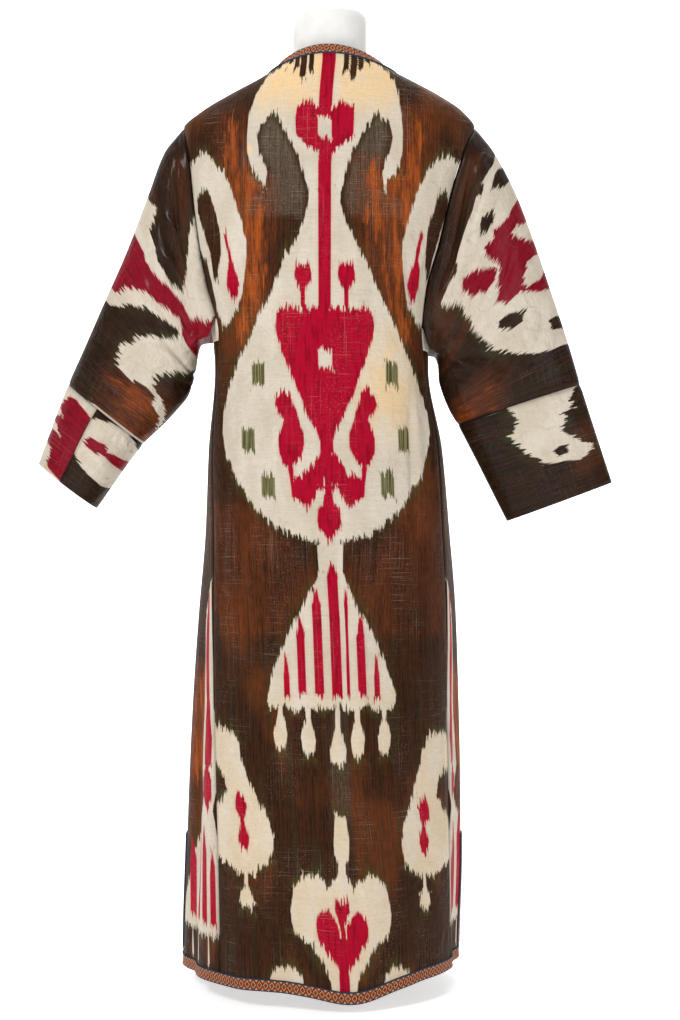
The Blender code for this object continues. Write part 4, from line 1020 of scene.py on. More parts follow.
for name, side in SIDES.items():
    low = ARMHOLE_BOTTOM[side] - GUSSET_HEIGHT
    rows = np.append(levels[levels < low - 0.002], low - HALF_GAP)
    for part, at_back in (("back", True), ("front", False)):
        way = -1 if at_back else 1
        seam = seam_arc(rows, side, at_back) - way * HALF_GAP
        arcs = side * spread(seam, side_arc(rows, side) + way * slit_gap(rows), GORE_COLUMNS)

        def across_gore(level, around, side=side, at_back=at_back):
            """Distance from the seam that joins the gore to the back or the front."""
            return np.abs(np.abs(around) - seam_arc(level[:, 0], side, at_back)[:, None])

        sewn = (True, False, True)
        body_piece(f"gore_{part}_{name}", rows, arcs, (gore_pattern, across_gore), sewn, ikat)

# %% [markdown]
# ## Gussets
# A small square of plain unbleached cotton under each arm gives the sleeve room to lift. It is
# matt and coarser than the silk, with a visible plain weave.

# %% Gusset cloth
def make_plain_cotton():
    """Two noises stretched at right angles, added, give the weave; a slow one gives the age."""
    material, tree, shader = new_material("gusset cloth")
    split = node(tree, "SeparateXYZ", {0: node(tree, "UVMap", uv_map="cloth").outputs[0]}).outputs
    warp = noise(tree, split[0], split[1], 1500.0, 60.0, 2.0, 1.0)
    weft = noise(tree, split[0], split[1], 60.0, 1500.0, 5.0, 1.0)
    age = noise(tree, split[0], split[1], 40.0, 40.0, 8.0, 3.0)
    weave = maths(tree, "ADD", maths(tree, "MULTIPLY", warp, 0.5), maths(tree, "MULTIPLY", weft, 0.5))
    colour = mix(tree, soft(tree, age, 0.3, 0.7), paint(214, 204, 186), paint(182, 168, 146))
    colour = mix(tree, maths(tree, "MULTIPLY", soft(tree, weave, 0.40, 0.62), 0.35), colour,
                 paint(236, 229, 215))
    tree.links.new(colour, shader.inputs["Base Color"])
    tree.links.new(maths(tree, "MULTIPLY_ADD", age, 0.2, 0.65), shader.inputs["Roughness"])
    shader.inputs["Sheen Weight"].default_value = 0.15
    bump = node(tree, "Bump", {"Height": weave, "Strength": 0.6, "Distance": 0.0006}).outputs[0]
    tree.links.new(bump, shader.inputs["Normal"])
    return material


cotton = make_plain_cotton()


def plain(across, height):
    """No shapes: every distance is well outside."""
    return np.full((*across.shape, 4), OUTSIDE)


for name, side in SIDES.items():
    top = ARMHOLE_BOTTOM[side]
    rows = np.linspace(top - GUSSET_HEIGHT + HALF_GAP, top - GUSSET_DROP, 15)
    start, end = seam_arc(rows, side, True) + HALF_GAP, seam_arc(rows, side, False) - HALF_GAP
    arcs = side * spread(start, end, GUSSET_COLUMNS)
    body_piece(f"gusset_{name}", rows, arcs, (plain, lambda level, around: np.abs(around)),
               (True, True, True), cotton)

# %% [markdown]
# ## Sleeves
# A sleeve leaves the armhole's own line and becomes a flattened tube. Its warp runs round the arm,
# so the pattern's spikes do too. The tube's sections come from a table for each side, because one
# arm hangs straighter than the other, and creases fan out from under the arm.

# %% Sleeve tables
SLEEVE_COLUMNS = ("along", "outer_x", "outer_z", "inner_x", "inner_z", "half_thick", "middle_y")
SLEEVES = {
    LEFT: np.array((
        (0.00, 0.2060, 1.2220, 0.1660, 0.9440, 0.060, 0.000),
        (0.035, 0.2155, 1.2100, 0.1755, 0.9120, 0.057, 0.001),
        (0.10, 0.2330, 1.1880, 0.1800, 0.9090, 0.053, 0.002),
        (0.25, 0.2580, 1.1250, 0.1860, 0.8940, 0.049, 0.001),
        (0.42, 0.2890, 1.0450, 0.1910, 0.8680, 0.048, -0.002),
        (0.58, 0.3250, 0.9650, 0.2000, 0.8400, 0.050, -0.007),
        (0.70, 0.3540, 0.9000, 0.2290, 0.8050, 0.051, -0.012),
        (0.78, 0.3750, 0.8540, 0.2670, 0.7680, 0.051, -0.016),
        (1.00, 0.4190, 0.7410, 0.3350, 0.6760, 0.049, -0.026),
    )),
    RIGHT: np.array((
        (0.00, 0.2095, 1.2220, 0.1440, 0.9300, 0.060, 0.000),
        (0.035, 0.2185, 1.2110, 0.1530, 0.8930, 0.057, 0.001),
        (0.10, 0.2350, 1.1900, 0.1550, 0.8880, 0.052, 0.002),
        (0.25, 0.2680, 1.1300, 0.1580, 0.8760, 0.048, 0.002),
        (0.42, 0.2950, 1.0610, 0.1590, 0.8600, 0.047, 0.000),
        (0.58, 0.3200, 0.9890, 0.1640, 0.8420, 0.044, -0.003),
        (0.70, 0.3450, 0.9160, 0.1740, 0.8180, 0.040, -0.008),
        (0.78, 0.3640, 0.8540, 0.1870, 0.7960, 0.036, -0.012),
        (1.00, 0.4110, 0.7130, 0.2590, 0.6570, 0.025, -0.024),
    )),
}
WRIST_SEAM = 0.78
SLEEVE_LENGTH = 0.45
MOUTH_BLEND = 0.34
PATCH_SPAN = (0.74, 1.22)
SLEEVE_CREASES = {
    # along the arm and round it for both ends, half width, depth, all in metres
    LEFT: (
        (0.010, 0.020, 0.045, 0.150, 0.0050, -0.0045),
        (0.028, 0.030, 0.030, 0.130, 0.0060, 0.0040),
        (0.045, 0.060, 0.035, 0.200, 0.0050, -0.0050),
        (0.085, 0.080, 0.030, 0.190, 0.0045, 0.0035),
        (0.105, 0.075, 0.045, 0.190, 0.0050, -0.0040),
        (0.125, 0.100, 0.060, 0.215, 0.0050, 0.0035),
        (0.140, 0.180, 0.060, 0.270, 0.0060, -0.0050),
        (0.160, 0.210, 0.050, 0.300, 0.0060, 0.0045),
        (0.018, 0.310, 0.135, 0.255, 0.0060, -0.0045),
        (0.265, 0.110, 0.205, 0.215, 0.0080, 0.0030),
        (0.285, 0.100, 0.230, 0.230, 0.0070, -0.0035),
        (0.300, 0.085, 0.308, 0.180, 0.0060, 0.0022),
        (0.220, 0.130, 0.180, 0.260, 0.0070, -0.0040),
        (0.190, 0.060, 0.200, 0.160, 0.0080, 0.0020),
        (0.410, 0.020, 0.400, 0.120, 0.0060, -0.0018),
    ),
    RIGHT: (
        (0.022, 0.060, 0.026, 0.260, 0.0055, -0.0085),
        (0.008, 0.060, 0.009, 0.250, 0.0065, 0.0040),
        (0.040, 0.020, 0.034, 0.110, 0.0060, 0.0040),
        (0.055, 0.030, 0.050, 0.160, 0.0060, -0.0035),
        (0.060, 0.290, 0.297, 0.126, 0.0060, -0.0045),
        (0.075, 0.280, 0.310, 0.140, 0.0060, 0.0040),
        (0.173, 0.273, 0.326, 0.102, 0.0055, -0.0040),
        (0.190, 0.260, 0.330, 0.120, 0.0060, 0.0035),
        (0.297, 0.093, 0.335, 0.149, 0.0045, 0.0030),
        (0.250, 0.030, 0.300, 0.060, 0.0080, -0.0015),
        (0.120, 0.150, 0.060, 0.230, 0.0080, 0.0025),
        (0.160, 0.060, 0.200, 0.110, 0.0100, -0.0016),
    ),
}


# %% [markdown]
# The tube starts as the ring of the armhole and turns into flattened ellipses over the first third
# of its length. Both have their points at the same shares of the way round, so nothing twists.

# %% Sleeve surfaces
def mouth_of(side):
    """The sleeve's first ring: from the shoulder tip down the back edge of the armhole, across
    the gusset's top and up the front edge, moved half a gap away from the panels."""
    low = ARMHOLE_BOTTOM[side]
    rows = levels[(levels > low + 1e-4) & (levels < SHOULDER_TIP - 1e-4)]
    floor = spread(seam_arc(low, side, True), seam_arc(low, side, False), GUSSET_COLUMNS)[0]
    level = np.concatenate([[SHOULDER_TIP], rows[::-1], np.full(len(floor), low), rows])
    arcs = np.concatenate([side_arc(SHOULDER_TIP, side), seam_arc(rows, side, True)[::-1], floor,
                           seam_arc(rows, side, False)])
    line = place(level, side * arcs, creased=True)
    body_out = outward(level, side * arcs)
    tangent = unit(unit(np.roll(line, -1, axis=0) - line) + unit(line - np.roll(line, 1, axis=0)))
    away = side * unit(np.cross(tangent, body_out))
    return line + HALF_GAP * away


def sleeve_sections(side, along, shares):
    """Ellipses between the outer and inner edge, with points at given shares of the way round."""
    value = {n: read_table(SLEEVES[side], SLEEVE_COLUMNS, n, along) for n in SLEEVE_COLUMNS[1:]}
    outer = np.stack([side * value["outer_x"], value["middle_y"], value["outer_z"]], axis=1)
    inner = np.stack([side * value["inner_x"], value["middle_y"], value["inner_z"]], axis=1)
    half = (outer - inner) / 2
    angle = np.linspace(0, 2 * np.pi, RING_STEPS + 1)
    sections = []
    for row in range(len(along)):
        wide = np.linalg.norm(half[row]) * np.cos(angle)
        deep = value["half_thick"][row] * np.sin(angle)
        length = np.concatenate([[0], np.cumsum(np.hypot(np.diff(wide), np.diff(deep)))])
        at = shares * length[-1]
        ring = (outer[row] + inner[row]) / 2 + np.interp(at, length, np.cos(angle))[:, None] * half[row]
        ring[:, 1] += np.interp(at, length, deep)
        sections.append(ring)
    return np.array(sections)


def sleeve_surface(side, along):
    """The creased outer surface, with each point's distance along the arm and round it. Round is
    0 at the outer edge, positive over the back and negative over the front."""
    mouth = mouth_of(side)
    step = np.linalg.norm(np.roll(mouth, -1, axis=0) - mouth, axis=1)
    shares = np.concatenate([[0], np.cumsum(step)[:-1]]) / step.sum()
    grid = sleeve_sections(side, along, shares)
    share = smooth_step(0, MOUTH_BLEND, along)[:, None, None]
    grid = (mouth + grid - grid[0]) * (1 - share) + grid * share
    girth = np.linalg.norm(np.roll(grid, -1, axis=1) - grid, axis=2).sum(axis=1)
    turned = np.where(shares > 0.5, shares - 1, shares)
    length, round_arm = np.meshgrid(along * SLEEVE_LENGTH, turned, indexing="ij")
    round_arm = round_arm * girth[:, None]
    depth = crease_depth(length, np.abs(round_arm), SLEEVE_CREASES[side]) * smooth_step(0.0, 0.012, length)
    normal = surface_normals(grid, closed=True) * side
    return grid + depth[..., None] * normal, length, round_arm, shares


# %% [markdown]
# The sleeves' pattern comes from other parts of the same loom width, so its shapes are laid out
# as patches: first the place along the arm, then the place round it, in centimetres.

# %% Sleeve patterns
def left_sleeve_pattern(along_arm, round_arm):
    """A cream cross-band with a red wedge through it, then an almond and a rust stripe."""
    side = np.abs(round_arm)
    args = (along_arm, side)
    band_shape = patch(*args, [(11.3, -3.0), (11.3, 2.6), (9.9, 5.3), (11.9, 5.3), (13.3, 5.6),
                               (13.3, 8.0), (13.9, 9.9), (12.4, 14.3), (8.3, 19.4), (4.3, 19.9),
                               (2.0, 18.1), (0.7, 15.6), (-1.0, 17.0), (-1.0, 42.0), (5.0, 42.0),
                               (12.2, 27.4), (14.6, 22.8), (16.0, 19.9), (16.8, 17.2), (19.4, 12.9),
                               (21.2, 9.3), (24.5, 4.7), (25.2, 2.8), (25.2, -3.0)])
    almond = patch(*args, [(16.8, 18.2), (20.4, 15.4), (22.7, 12.9), (25.2, 10.0), (27.9, 8.1),
                           (29.0, 8.0), (30.2, 8.7), (30.6, 11.3), (30.7, 13.7), (31.4, 16.0),
                           (33.2, 19.2), (31.6, 19.0), (29.9, 16.3), (29.2, 14.5), (27.9, 14.4),
                           (22.9, 19.3), (15.5, 25.6), (12.2, 28.4), (14.6, 22.8), (16.0, 19.9)])
    seam_edge = patch(*args, [(34.85, 7.6), (34.85, 20.5), (35.3, 20.5), (35.3, 7.6)])
    blotch = patch(*args, [(30.2, 11.8), (30.0, 13.6), (30.3, 15.6), (31.2, 15.4), (31.4, 12.0)])
    red = patch(*args, [(16.4, -3.0), (16.4, 2.3), (16.2, 5.5), (16.6, 6.7), (15.5, 11.1), (10.6, 18.8),
                        (8.3, 23.2), (3.2, 27.2), (0.0, 31.0), (0.0, 40.0), (5.0, 36.3), (13.3, 25.0),
                        (15.6, 21.0), (15.6, 19.0), (13.6, 18.8), (17.8, 12.5), (19.4, 8.6), (21.6, 5.4),
                        (23.6, 3.2), (23.6, -3.0)])
    rust = patch(*args, [(31.9, 8.2), (30.4, 11.7), (30.6, 14.6), (31.9, 18.5), (34.6, 21.0),
                         (36.0, 20.0), (36.0, 9.0), (34.0, 9.6)])
    none = np.full(side.shape, OUTSIDE)
    return np.stack([join(cut(join(band_shape, almond), blotch), seam_edge), red, none, rust], axis=-1)


def left_wrist_pattern(along_arm, round_arm):
    """Part of a cream shape with a red dumbbell that lies across the arm."""
    side = np.abs(round_arm)
    args = (along_arm, side)
    cream = patch(*args, [(37.1, 6.4), (36.4, 8.3), (35.3, 11.5), (35.0, 14.2), (35.8, 17.4),
                          (36.4, 21.0), (40.8, 21.5), (41.7, 17.1), (42.3, 13.4), (42.1, 10.4),
                          (41.4, 8.7), (40.4, 6.4)])
    red = patch(*args, [(38.7, 8.6), (38.2, 9.2), (37.8, 11.7), (38.4, 12.6), (38.0, 14.3), (37.8, 16.6),
                        (38.4, 19.0), (39.2, 17.8), (39.2, 14.1), (39.0, 12.2), (39.4, 10.8),
                        (39.4, 9.2)])
    none = np.full(side.shape, OUTSIDE)
    return np.stack([cream, red, none, none], axis=-1)


def left_patch_pattern(along_arm, round_arm):
    """The pieced-in strip: cream, with a large ragged red shape that runs up to its seam."""
    args = (along_arm, round_arm)
    cream = patch(*args, [(34.0, -16.0), (34.0, 12.0), (46.0, 12.0), (46.0, -16.0)])
    red = join(patch(*args, [(36.0, 3.4), (35.8, 5.1), (36.2, 7.6), (37.4, 11.0), (46.0, 11.0),
                             (44.9, 7.9), (44.5, 4.2), (42.3, 3.4), (41.9, 1.2), (40.4, 1.7), (40.4, 4.2),
                             (39.6, 3.2), (39.3, -0.4), (38.2, 3.2), (37.5, 1.6)]),
               patch(*args, [(36.4, -6.0), (38.0, -9.4), (42.6, -9.0), (43.4, -6.0), (40.0, -5.4)]))
    none = np.full(round_arm.shape, OUTSIDE)
    return np.stack([cream, red, none, none], axis=-1)


def right_sleeve_pattern(along_arm, round_arm):
    """Most of a large medallion, seen sideways, with a red branching shape and dark spots."""
    side = np.abs(round_arm)
    args = (along_arm, side)
    cream = patch(*args, [(5.0, -3.0), (5.2, 0.0), (5.6, 4.0), (4.7, 8.1), (5.0, 10.9), (4.5, 15.1),
                          (4.3, 18.1), (4.9, 20.2), (4.3, 22.5), (3.6, 26.0), (11.2, 19.8), (12.2, 20.4),
                          (15.5, 18.8), (18.9, 17.7), (23.9, 15.4), (27.4, 13.1), (29.7, 10.1),
                          (31.1, 7.0), (31.5, 4.0), (32.0, -3.0)])
    spots = join(patch(*args, [(6.6, 4.3), (6.7, 2.4), (7.9, -1.0), (9.9, -1.0), (8.9, 3.6), (7.2, 5.8)]),
                 patch(*args, [(7.2, 9.8), (8.8, 7.3), (9.8, 8.2), (9.3, 10.3), (8.1, 11.8)]),
                 patch(*args, [(23.5, 12.2), (24.2, 9.5), (25.6, 7.3), (26.7, 7.6), (26.4, 9.8),
                               (24.9, 12.1)]),
                 patch(*args, [(28.7, 3.8), (28.8, 1.8), (29.2, -1.0), (30.5, -1.0), (29.9, 3.1)]),
                 spot(*args, 4.6, 19.8, 0.8, 1.0), spot(*args, 4.8, 8.0, 1.0, 1.0))
    red = join(patch(*args, [(10.5, 8.9), (12.6, 4.5), (14.6, 4.2), (14.2, 6.2), (16.9, 3.8), (18.7, 1.8),
                             (20.0, -1.0), (20.9, 1.4), (20.2, 4.3), (21.8, 6.2), (22.8, 7.4),
                             (22.2, 9.9), (19.9, 12.2), (18.7, 10.8), (17.3, 11.3), (16.4, 10.0),
                             (15.1, 10.4), (11.3, 12.4), (10.0, 11.8), (11.4, 9.5)]),
               patch(*args, [(12.1, 4.2), (12.6, -1.5), (16.4, -1.5), (15.7, 2.4), (13.7, 5.4),
                             (12.6, 6.4)]),
               patch(*args, [(7.7, 18.3), (11.0, 14.7), (15.3, 10.7), (16.4, 11.6), (15.8, 13.9),
                             (12.4, 17.5), (9.0, 19.5)]),
               patch(*args, [(22.0, 6.6), (23.4, 5.6), (24.0, 2.5), (22.8, -1.5), (26.3, -1.5),
                             (25.3, 3.3), (22.8, 7.2)]))
    rust = patch(*args, [(32.0, 15.0), (33.0, 22.0), (36.0, 22.0), (36.0, 14.0)])
    none = np.full(side.shape, OUTSIDE)
    return np.stack([cut(cream, spots), red, none, rust], axis=-1)


def right_wrist_pattern(along_arm, round_arm):
    """A cream shape like a bud, cut through at the seam, with one small dark spot."""
    side = np.abs(round_arm)
    args = (along_arm, side)
    cream = patch(*args, [(34.8, 13.2), (34.8, 1.4), (36.0, 3.4), (36.7, 3.4), (37.1, 5.0), (38.2, 5.2),
                          (38.9, 6.1), (39.6, 4.6), (40.5, 2.6), (41.2, 2.2), (41.9, 4.4), (41.5, 7.8),
                          (41.2, 9.9), (40.0, 11.7), (38.7, 12.8), (37.8, 13.3), (37.1, 12.2),
                          (36.2, 12.0)])
    dark_spot = patch(*args, [(40.4, 8.3), (40.1, 7.1), (40.2, 5.4), (40.8, 6.3), (41.0, 7.6)])
    none = np.full(side.shape, OUTSIDE)
    return np.stack([cut(cream, dark_spot), none, none, none], axis=-1)


# %% [markdown]
# A seam above the wrist cuts each tube into a long upper piece and a short lower one. The left
# sleeve's lower piece is cut again, along the arm, because it was pieced from two scraps.

# %% Sleeve pieces
gap_share = HALF_GAP / SLEEVE_LENGTH
UPPER_COUNT, WRIST_COUNT = 92, 28
upper_rows = np.linspace(0, WRIST_SEAM - gap_share, UPPER_COUNT)
wrist_rows = np.linspace(WRIST_SEAM + gap_share, 1.0, WRIST_COUNT)
ALL_ROWS = np.concatenate([upper_rows, wrist_rows])
PATTERNS = {LEFT: (left_sleeve_pattern, left_wrist_pattern), RIGHT: (right_sleeve_pattern,
                                                                     right_wrist_pattern)}
# The sleeves' copy of the cloth has more crinkle and gloss, and painted shade on its dark dyes.
silk = make_ikat("ikat creased and shaded", 0.0050, 0.12, 0.42)


def sleeve_piece(name, grid, along_arm, round_arm, seams, closed, side, pattern):
    """One piece of a sleeve. seams gives, for each point, its distance from the nearest seam."""
    close = seam_closeness(seams)
    values = dye_values(pattern, along_arm, round_arm)
    unworn = np.zeros(close.shape)
    # No stains on the sleeves, only the painted shade along their seams.
    stains_and_painted_light = np.stack([unworn, unworn, close, np.ones(close.shape)], axis=-1)
    return lay_cloth(f"{name}_cloth", grid, SEAM_SINK * close, values, stains_and_painted_light, closed, side == RIGHT, silk)


for name, side in SIDES.items():
    grid, along_arm, round_arm, shares = sleeve_surface(side, ALL_ROWS)
    seam_at = WRIST_SEAM * SLEEVE_LENGTH
    up, low = slice(0, UPPER_COUNT), slice(UPPER_COUNT, None)
    distance = np.minimum(along_arm, np.abs(along_arm - seam_at))
    sleeve_piece(f"sleeve_{name}", grid[up], along_arm[up], round_arm[up], distance[up], True, side,
                 PATTERNS[side][0])
    if side == RIGHT:
        sleeve_piece(f"sleeve_{name}_wrist", grid[low], along_arm[low], round_arm[low], distance[low], True,
                     side, PATTERNS[side][1])
        continue
    count = len(shares)
    first, last = np.searchsorted(shares, PATCH_SPAN[0]), np.searchsorted(shares, PATCH_SPAN[1] - 1)
    for part, columns, pattern in (("patch", np.arange(first, last + count + 1) % count,
                                    left_patch_pattern),
                                   ("wrist", np.arange(last, first + 1), PATTERNS[side][1])):
        piece = grid[low][:, columns]
        girth = np.linalg.norm(np.diff(piece, axis=1), axis=2).cumsum(axis=1)
        from_first = np.concatenate([np.zeros((len(piece), 1)), girth], axis=1)
        to_seam = np.minimum(np.minimum(from_first, from_first[:, -1:] - from_first),
                             distance[low][:, columns])
        sleeve_piece(f"sleeve_{name}_{part}", piece, along_arm[low][:, columns],
                     round_arm[low][:, columns], to_seam, False, side, pattern)

# %% [markdown]
# ## Braid
# The edges are bound with a woven braid: two dark blue cords with a row of orange-red lozenges in
# a cream lattice between them. The band stands a little proud of the cloth, with a round cord at
# each side, so the shape is a profile carried along the edge, and the lozenges are in the material.
# Modelling each thread would take millions of faces for a strip less than two centimetres wide.

# %% Braid material
LOZENGE_LENGTH, LOZENGE_REACH = 0.0088, 0.0062
BRAID_ORANGE, BRAID_BRIGHT, BRAID_PALE = paint(138, 42, 10), paint(180, 78, 24), paint(202, 184, 152)
BRAID_DARK, BRAID_HEART, STITCH_SHADE = paint(40, 26, 24), paint(60, 28, 22), paint(40, 26, 20)
CORD_NAVY, CORD_BLUE = paint(28, 42, 58), paint(62, 92, 110)


def make_braid_material():
    """Lozenges: the distance along the braid, folded every repeat, is added to the distance from
    its middle line, and rings of that sum get the thread colours."""
    material, tree, shader = new_material("braid")
    split = node(tree, "SeparateXYZ", {0: node(tree, "UVMap", uv_map="cloth").outputs[0]}).outputs
    wobble = maths(tree, "MULTIPLY_ADD", noise(tree, split[0], split[1], 300.0, 300.0, 3.0), 0.16, -0.08)
    along = maths(tree, "ADD", maths(tree, "DIVIDE", split[0], LOZENGE_LENGTH), wobble)
    folded = maths(tree, "ABSOLUTE", maths(tree, "MULTIPLY_ADD", maths(tree, "FRACT", along), 2.0, -1.0))
    off_middle = maths(tree, "ABSOLUTE", maths(tree, "SUBTRACT", split[1], BRAID_WIDTH / 2))
    across = maths(tree, "DIVIDE", off_middle, LOZENGE_REACH)
    ring = maths(tree, "ADD", folded, across)
    uneven = soft(tree, noise(tree, split[0], split[1], 900.0, 900.0, 7.0), 0.35, 0.65)
    orange = mix(tree, uneven, BRAID_ORANGE, BRAID_BRIGHT)
    colour = mix(tree, soft(tree, ring, 0.14, 0.22), BRAID_HEART, orange)
    colour = mix(tree, soft(tree, ring, 0.66, 0.72), colour, BRAID_PALE)
    colour = mix(tree, soft(tree, ring, 0.84, 0.90), colour, BRAID_DARK)
    colour = mix(tree, soft(tree, ring, 1.12, 1.18), colour, orange)
    colour = mix(tree, soft(tree, ring, 1.62, 1.70), colour, BRAID_PALE)
    twist = maths(tree, "SINE", maths(tree, "MULTIPLY_ADD", split[0], 3600.0,
                                      maths(tree, "MULTIPLY", split[1], 2600.0)))
    cord = mix(tree, soft(tree, twist, -0.2, 0.9), CORD_NAVY, CORD_BLUE)
    colour = mix(tree, soft(tree, off_middle, 0.0063, 0.0067), colour, cord)
    stitch = maths(tree, "SINE", maths(tree, "MULTIPLY", split[0], 5200.0))
    colour = mix(tree, maths(tree, "MULTIPLY", soft(tree, stitch, 0.4, -1.0), 0.30), colour, STITCH_SHADE)
    tree.links.new(colour, shader.inputs["Base Color"])
    shader.inputs["Roughness"].default_value = 0.72
    shader.inputs["Specular IOR Level"].default_value = 0.1
    height = maths(tree, "ADD", maths(tree, "MULTIPLY", stitch, 0.25), maths(tree, "MULTIPLY", twist, 0.35))
    bump = node(tree, "Bump", {"Height": height, "Strength": 0.7, "Distance": 0.0004}).outputs[0]
    tree.links.new(bump, shader.inputs["Normal"])
    return material


braid = make_braid_material()

# %% Braid pieces
PROFILE_STEPS = 14
profile_share = np.linspace(0, 1, PROFILE_STEPS + 1)
BRAID_LIFT = 0.0004
BRAID_THICK, CORD_RISE, EDGE_THICK = 0.0010, 0.0007, 0.0002
CORD_PLACE, CORD_WIDTH = 0.075, 0.05
BRAID_STEP, BRAID_GAP = 0.0035, 0.0006
NECK_BRAID_WIDTH, NECK_COUNT = 0.0135, 90
first_cord = np.exp(-(((profile_share - CORD_PLACE) / CORD_WIDTH) ** 2))
second_cord = np.exp(-(((profile_share - (1 - CORD_PLACE)) / CORD_WIDTH) ** 2))
edge_drop = smooth_step(0.0, CORD_WIDTH, np.minimum(profile_share, 1 - profile_share))
PROFILE = (BRAID_THICK + CORD_RISE * (first_cord + second_cord)) * edge_drop + EDGE_THICK


def lay_braid(name, level, around, node_name, flip):
    """Braid over the cloth: level and around are grids whose rows run along the braid and whose
    columns run across it, from one cord to the other."""
    skin = place(level, around, creased=True)
    up = np.gradient(skin, axis=0)
    beside = np.gradient(skin, axis=1)
    normal = unit(np.cross(up, beside)) * (-1 if flip else 1)
    run = np.concatenate([[0], np.cumsum(np.linalg.norm(np.diff(skin[:, PROFILE_STEPS // 2], axis=0),
                                                        axis=1))])
    cloth = np.stack(np.broadcast_arrays(run[:, None], profile_share[None, :] * BRAID_WIDTH), axis=-1)
    low = skin + BRAID_LIFT * normal
    strip = put_wall(name, low + PROFILE[None, :, None] * normal, low, {"cloth": cloth}, False, flip, braid)
    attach(strip, "root")
    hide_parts(node_name)
    print(f"{name}: {run[-1] * 100:.1f} cm long, {2 * len(strip.data.polygons)} triangles")


def run_rows(start, end, step):
    """Evenly spaced distances no further apart than a step."""
    return np.linspace(start, end, int(abs(end - start) / step) + 2)


hem_level = HEM_LEVEL + profile_share[None, :] * BRAID_WIDTH
hem_ends = {side: side_arc(HEM_LEVEL, side)[0] for side in (LEFT, RIGHT)}
gap_at_hem = slit_gap(HEM_LEVEL)
back_run = run_rows(-(hem_ends[RIGHT] - gap_at_hem), hem_ends[LEFT] - gap_at_hem, BRAID_STEP)[:, None]
lay_braid("braid_hem_back_strip", np.broadcast_to(hem_level, (len(back_run), PROFILE_STEPS + 1)),
          np.broadcast_to(back_run, (len(back_run), PROFILE_STEPS + 1)), "braid_hem_back", True)
neck_level = NECK_LEVEL - NECK_BRAID_WIDTH + profile_share[None, :] * NECK_BRAID_WIDTH
neck_share = np.linspace(0, 1, NECK_COUNT)[:, None]
neck_start = -seam_arc(neck_level[0], RIGHT, True)[None, :]
neck_end = seam_arc(neck_level[0], LEFT, True)[None, :]
lay_braid("braid_neck_strip", np.broadcast_to(neck_level, (NECK_COUNT, PROFILE_STEPS + 1)),
          neck_start * (1 - neck_share) + neck_end * neck_share, "braid_neck", True)

# %% Braid on the fronts and slits
for name, side in SIDES.items():
    edge = front_edge(levels, side)
    inner_edge = edge - front_braid_reach(levels, side)
    around = side * (inner_edge[:, None] * (1 - profile_share) + edge[:, None] * profile_share)
    lay_braid(f"braid_front_{name}_strip", np.repeat(levels[:, None], PROFILE_STEPS + 1, axis=1), around,
              f"braid_front_{name}", side == RIGHT)
    low_edge = front_edge(np.array([HEM_LEVEL]),
                          side)[0] - front_braid_reach(levels[:3], side)[0] - BRAID_GAP
    run = side * run_rows(hem_ends[side] + gap_at_hem, low_edge, BRAID_STEP)[:, None]
    lay_braid(f"braid_hem_{name}_strip", np.broadcast_to(hem_level, (len(run), PROFILE_STEPS + 1)),
              np.broadcast_to(run, (len(run), PROFILE_STEPS + 1)), f"braid_hem_{name}", side == LEFT)
    slit_rows = levels[(levels > HEM_LEVEL + BRAID_WIDTH + BRAID_GAP) & (levels < SLIT_TOP)]
    for part, way in (("back", -1), ("front", 1)):
        edge = side_arc(slit_rows, side) + way * slit_gap(slit_rows)
        around = side * (edge[:, None] + way * BRAID_WIDTH * (1 - profile_share))
        lay_braid(f"braid_slit_{part}_{name}_strip", np.repeat(slit_rows[:, None], PROFILE_STEPS + 1,
                                                               axis=1), around,
                  f"braid_slit_{part}_{name}", side * way == 1)

# %% [markdown]
# ## The dress form
# The robe hangs on a padded torso covered in white jersey, with a short neck. Only the neck shows
# from behind. It is a loft: rings at each height, closed at the top and bottom, with a fine seam
# up the middle of the back. A subdivided box would do for the torso, but rings let the shoulders
# follow the robe's own surface, two millimetres inside the cloth.

# %% Jersey material
def make_jersey():
    """Fine knit: two sets of short waves give the small stitches, over a soft uneven white."""
    material, tree, shader = new_material("form cloth")
    around = node(tree, "TexCoord").outputs["Object"]
    split = node(tree, "SeparateXYZ", {0: around}).outputs
    column = maths(tree, "SINE", maths(tree, "MULTIPLY", split[0], 4200.0))
    course = maths(tree, "SINE", maths(tree, "MULTIPLY", split[2], 3800.0))
    stitch = maths(tree, "MULTIPLY", column, course)
    tone = node(tree, "TexNoise", {"Vector": around, "Scale": 26.0, "Detail": 4.0}).outputs["Fac"]
    colour = mix(tree, soft(tree, tone, 0.3, 0.7), paint(240, 239, 236), paint(228, 226, 221))
    colour = mix(tree, maths(tree, "MULTIPLY", soft(tree, stitch, 0.0, -1.0), 0.14), colour,
                 paint(205, 203, 198))
    tree.links.new(colour, shader.inputs["Base Color"])
    tree.links.new(maths(tree, "MULTIPLY_ADD", tone, 0.15, 0.72), shader.inputs["Roughness"])
    shader.inputs["Sheen Weight"].default_value = 0.2
    bump = node(tree, "Bump", {"Height": stitch, "Strength": 0.35, "Distance": 0.0003}).outputs[0]
    tree.links.new(bump, shader.inputs["Normal"])
    return material


jersey = make_jersey()

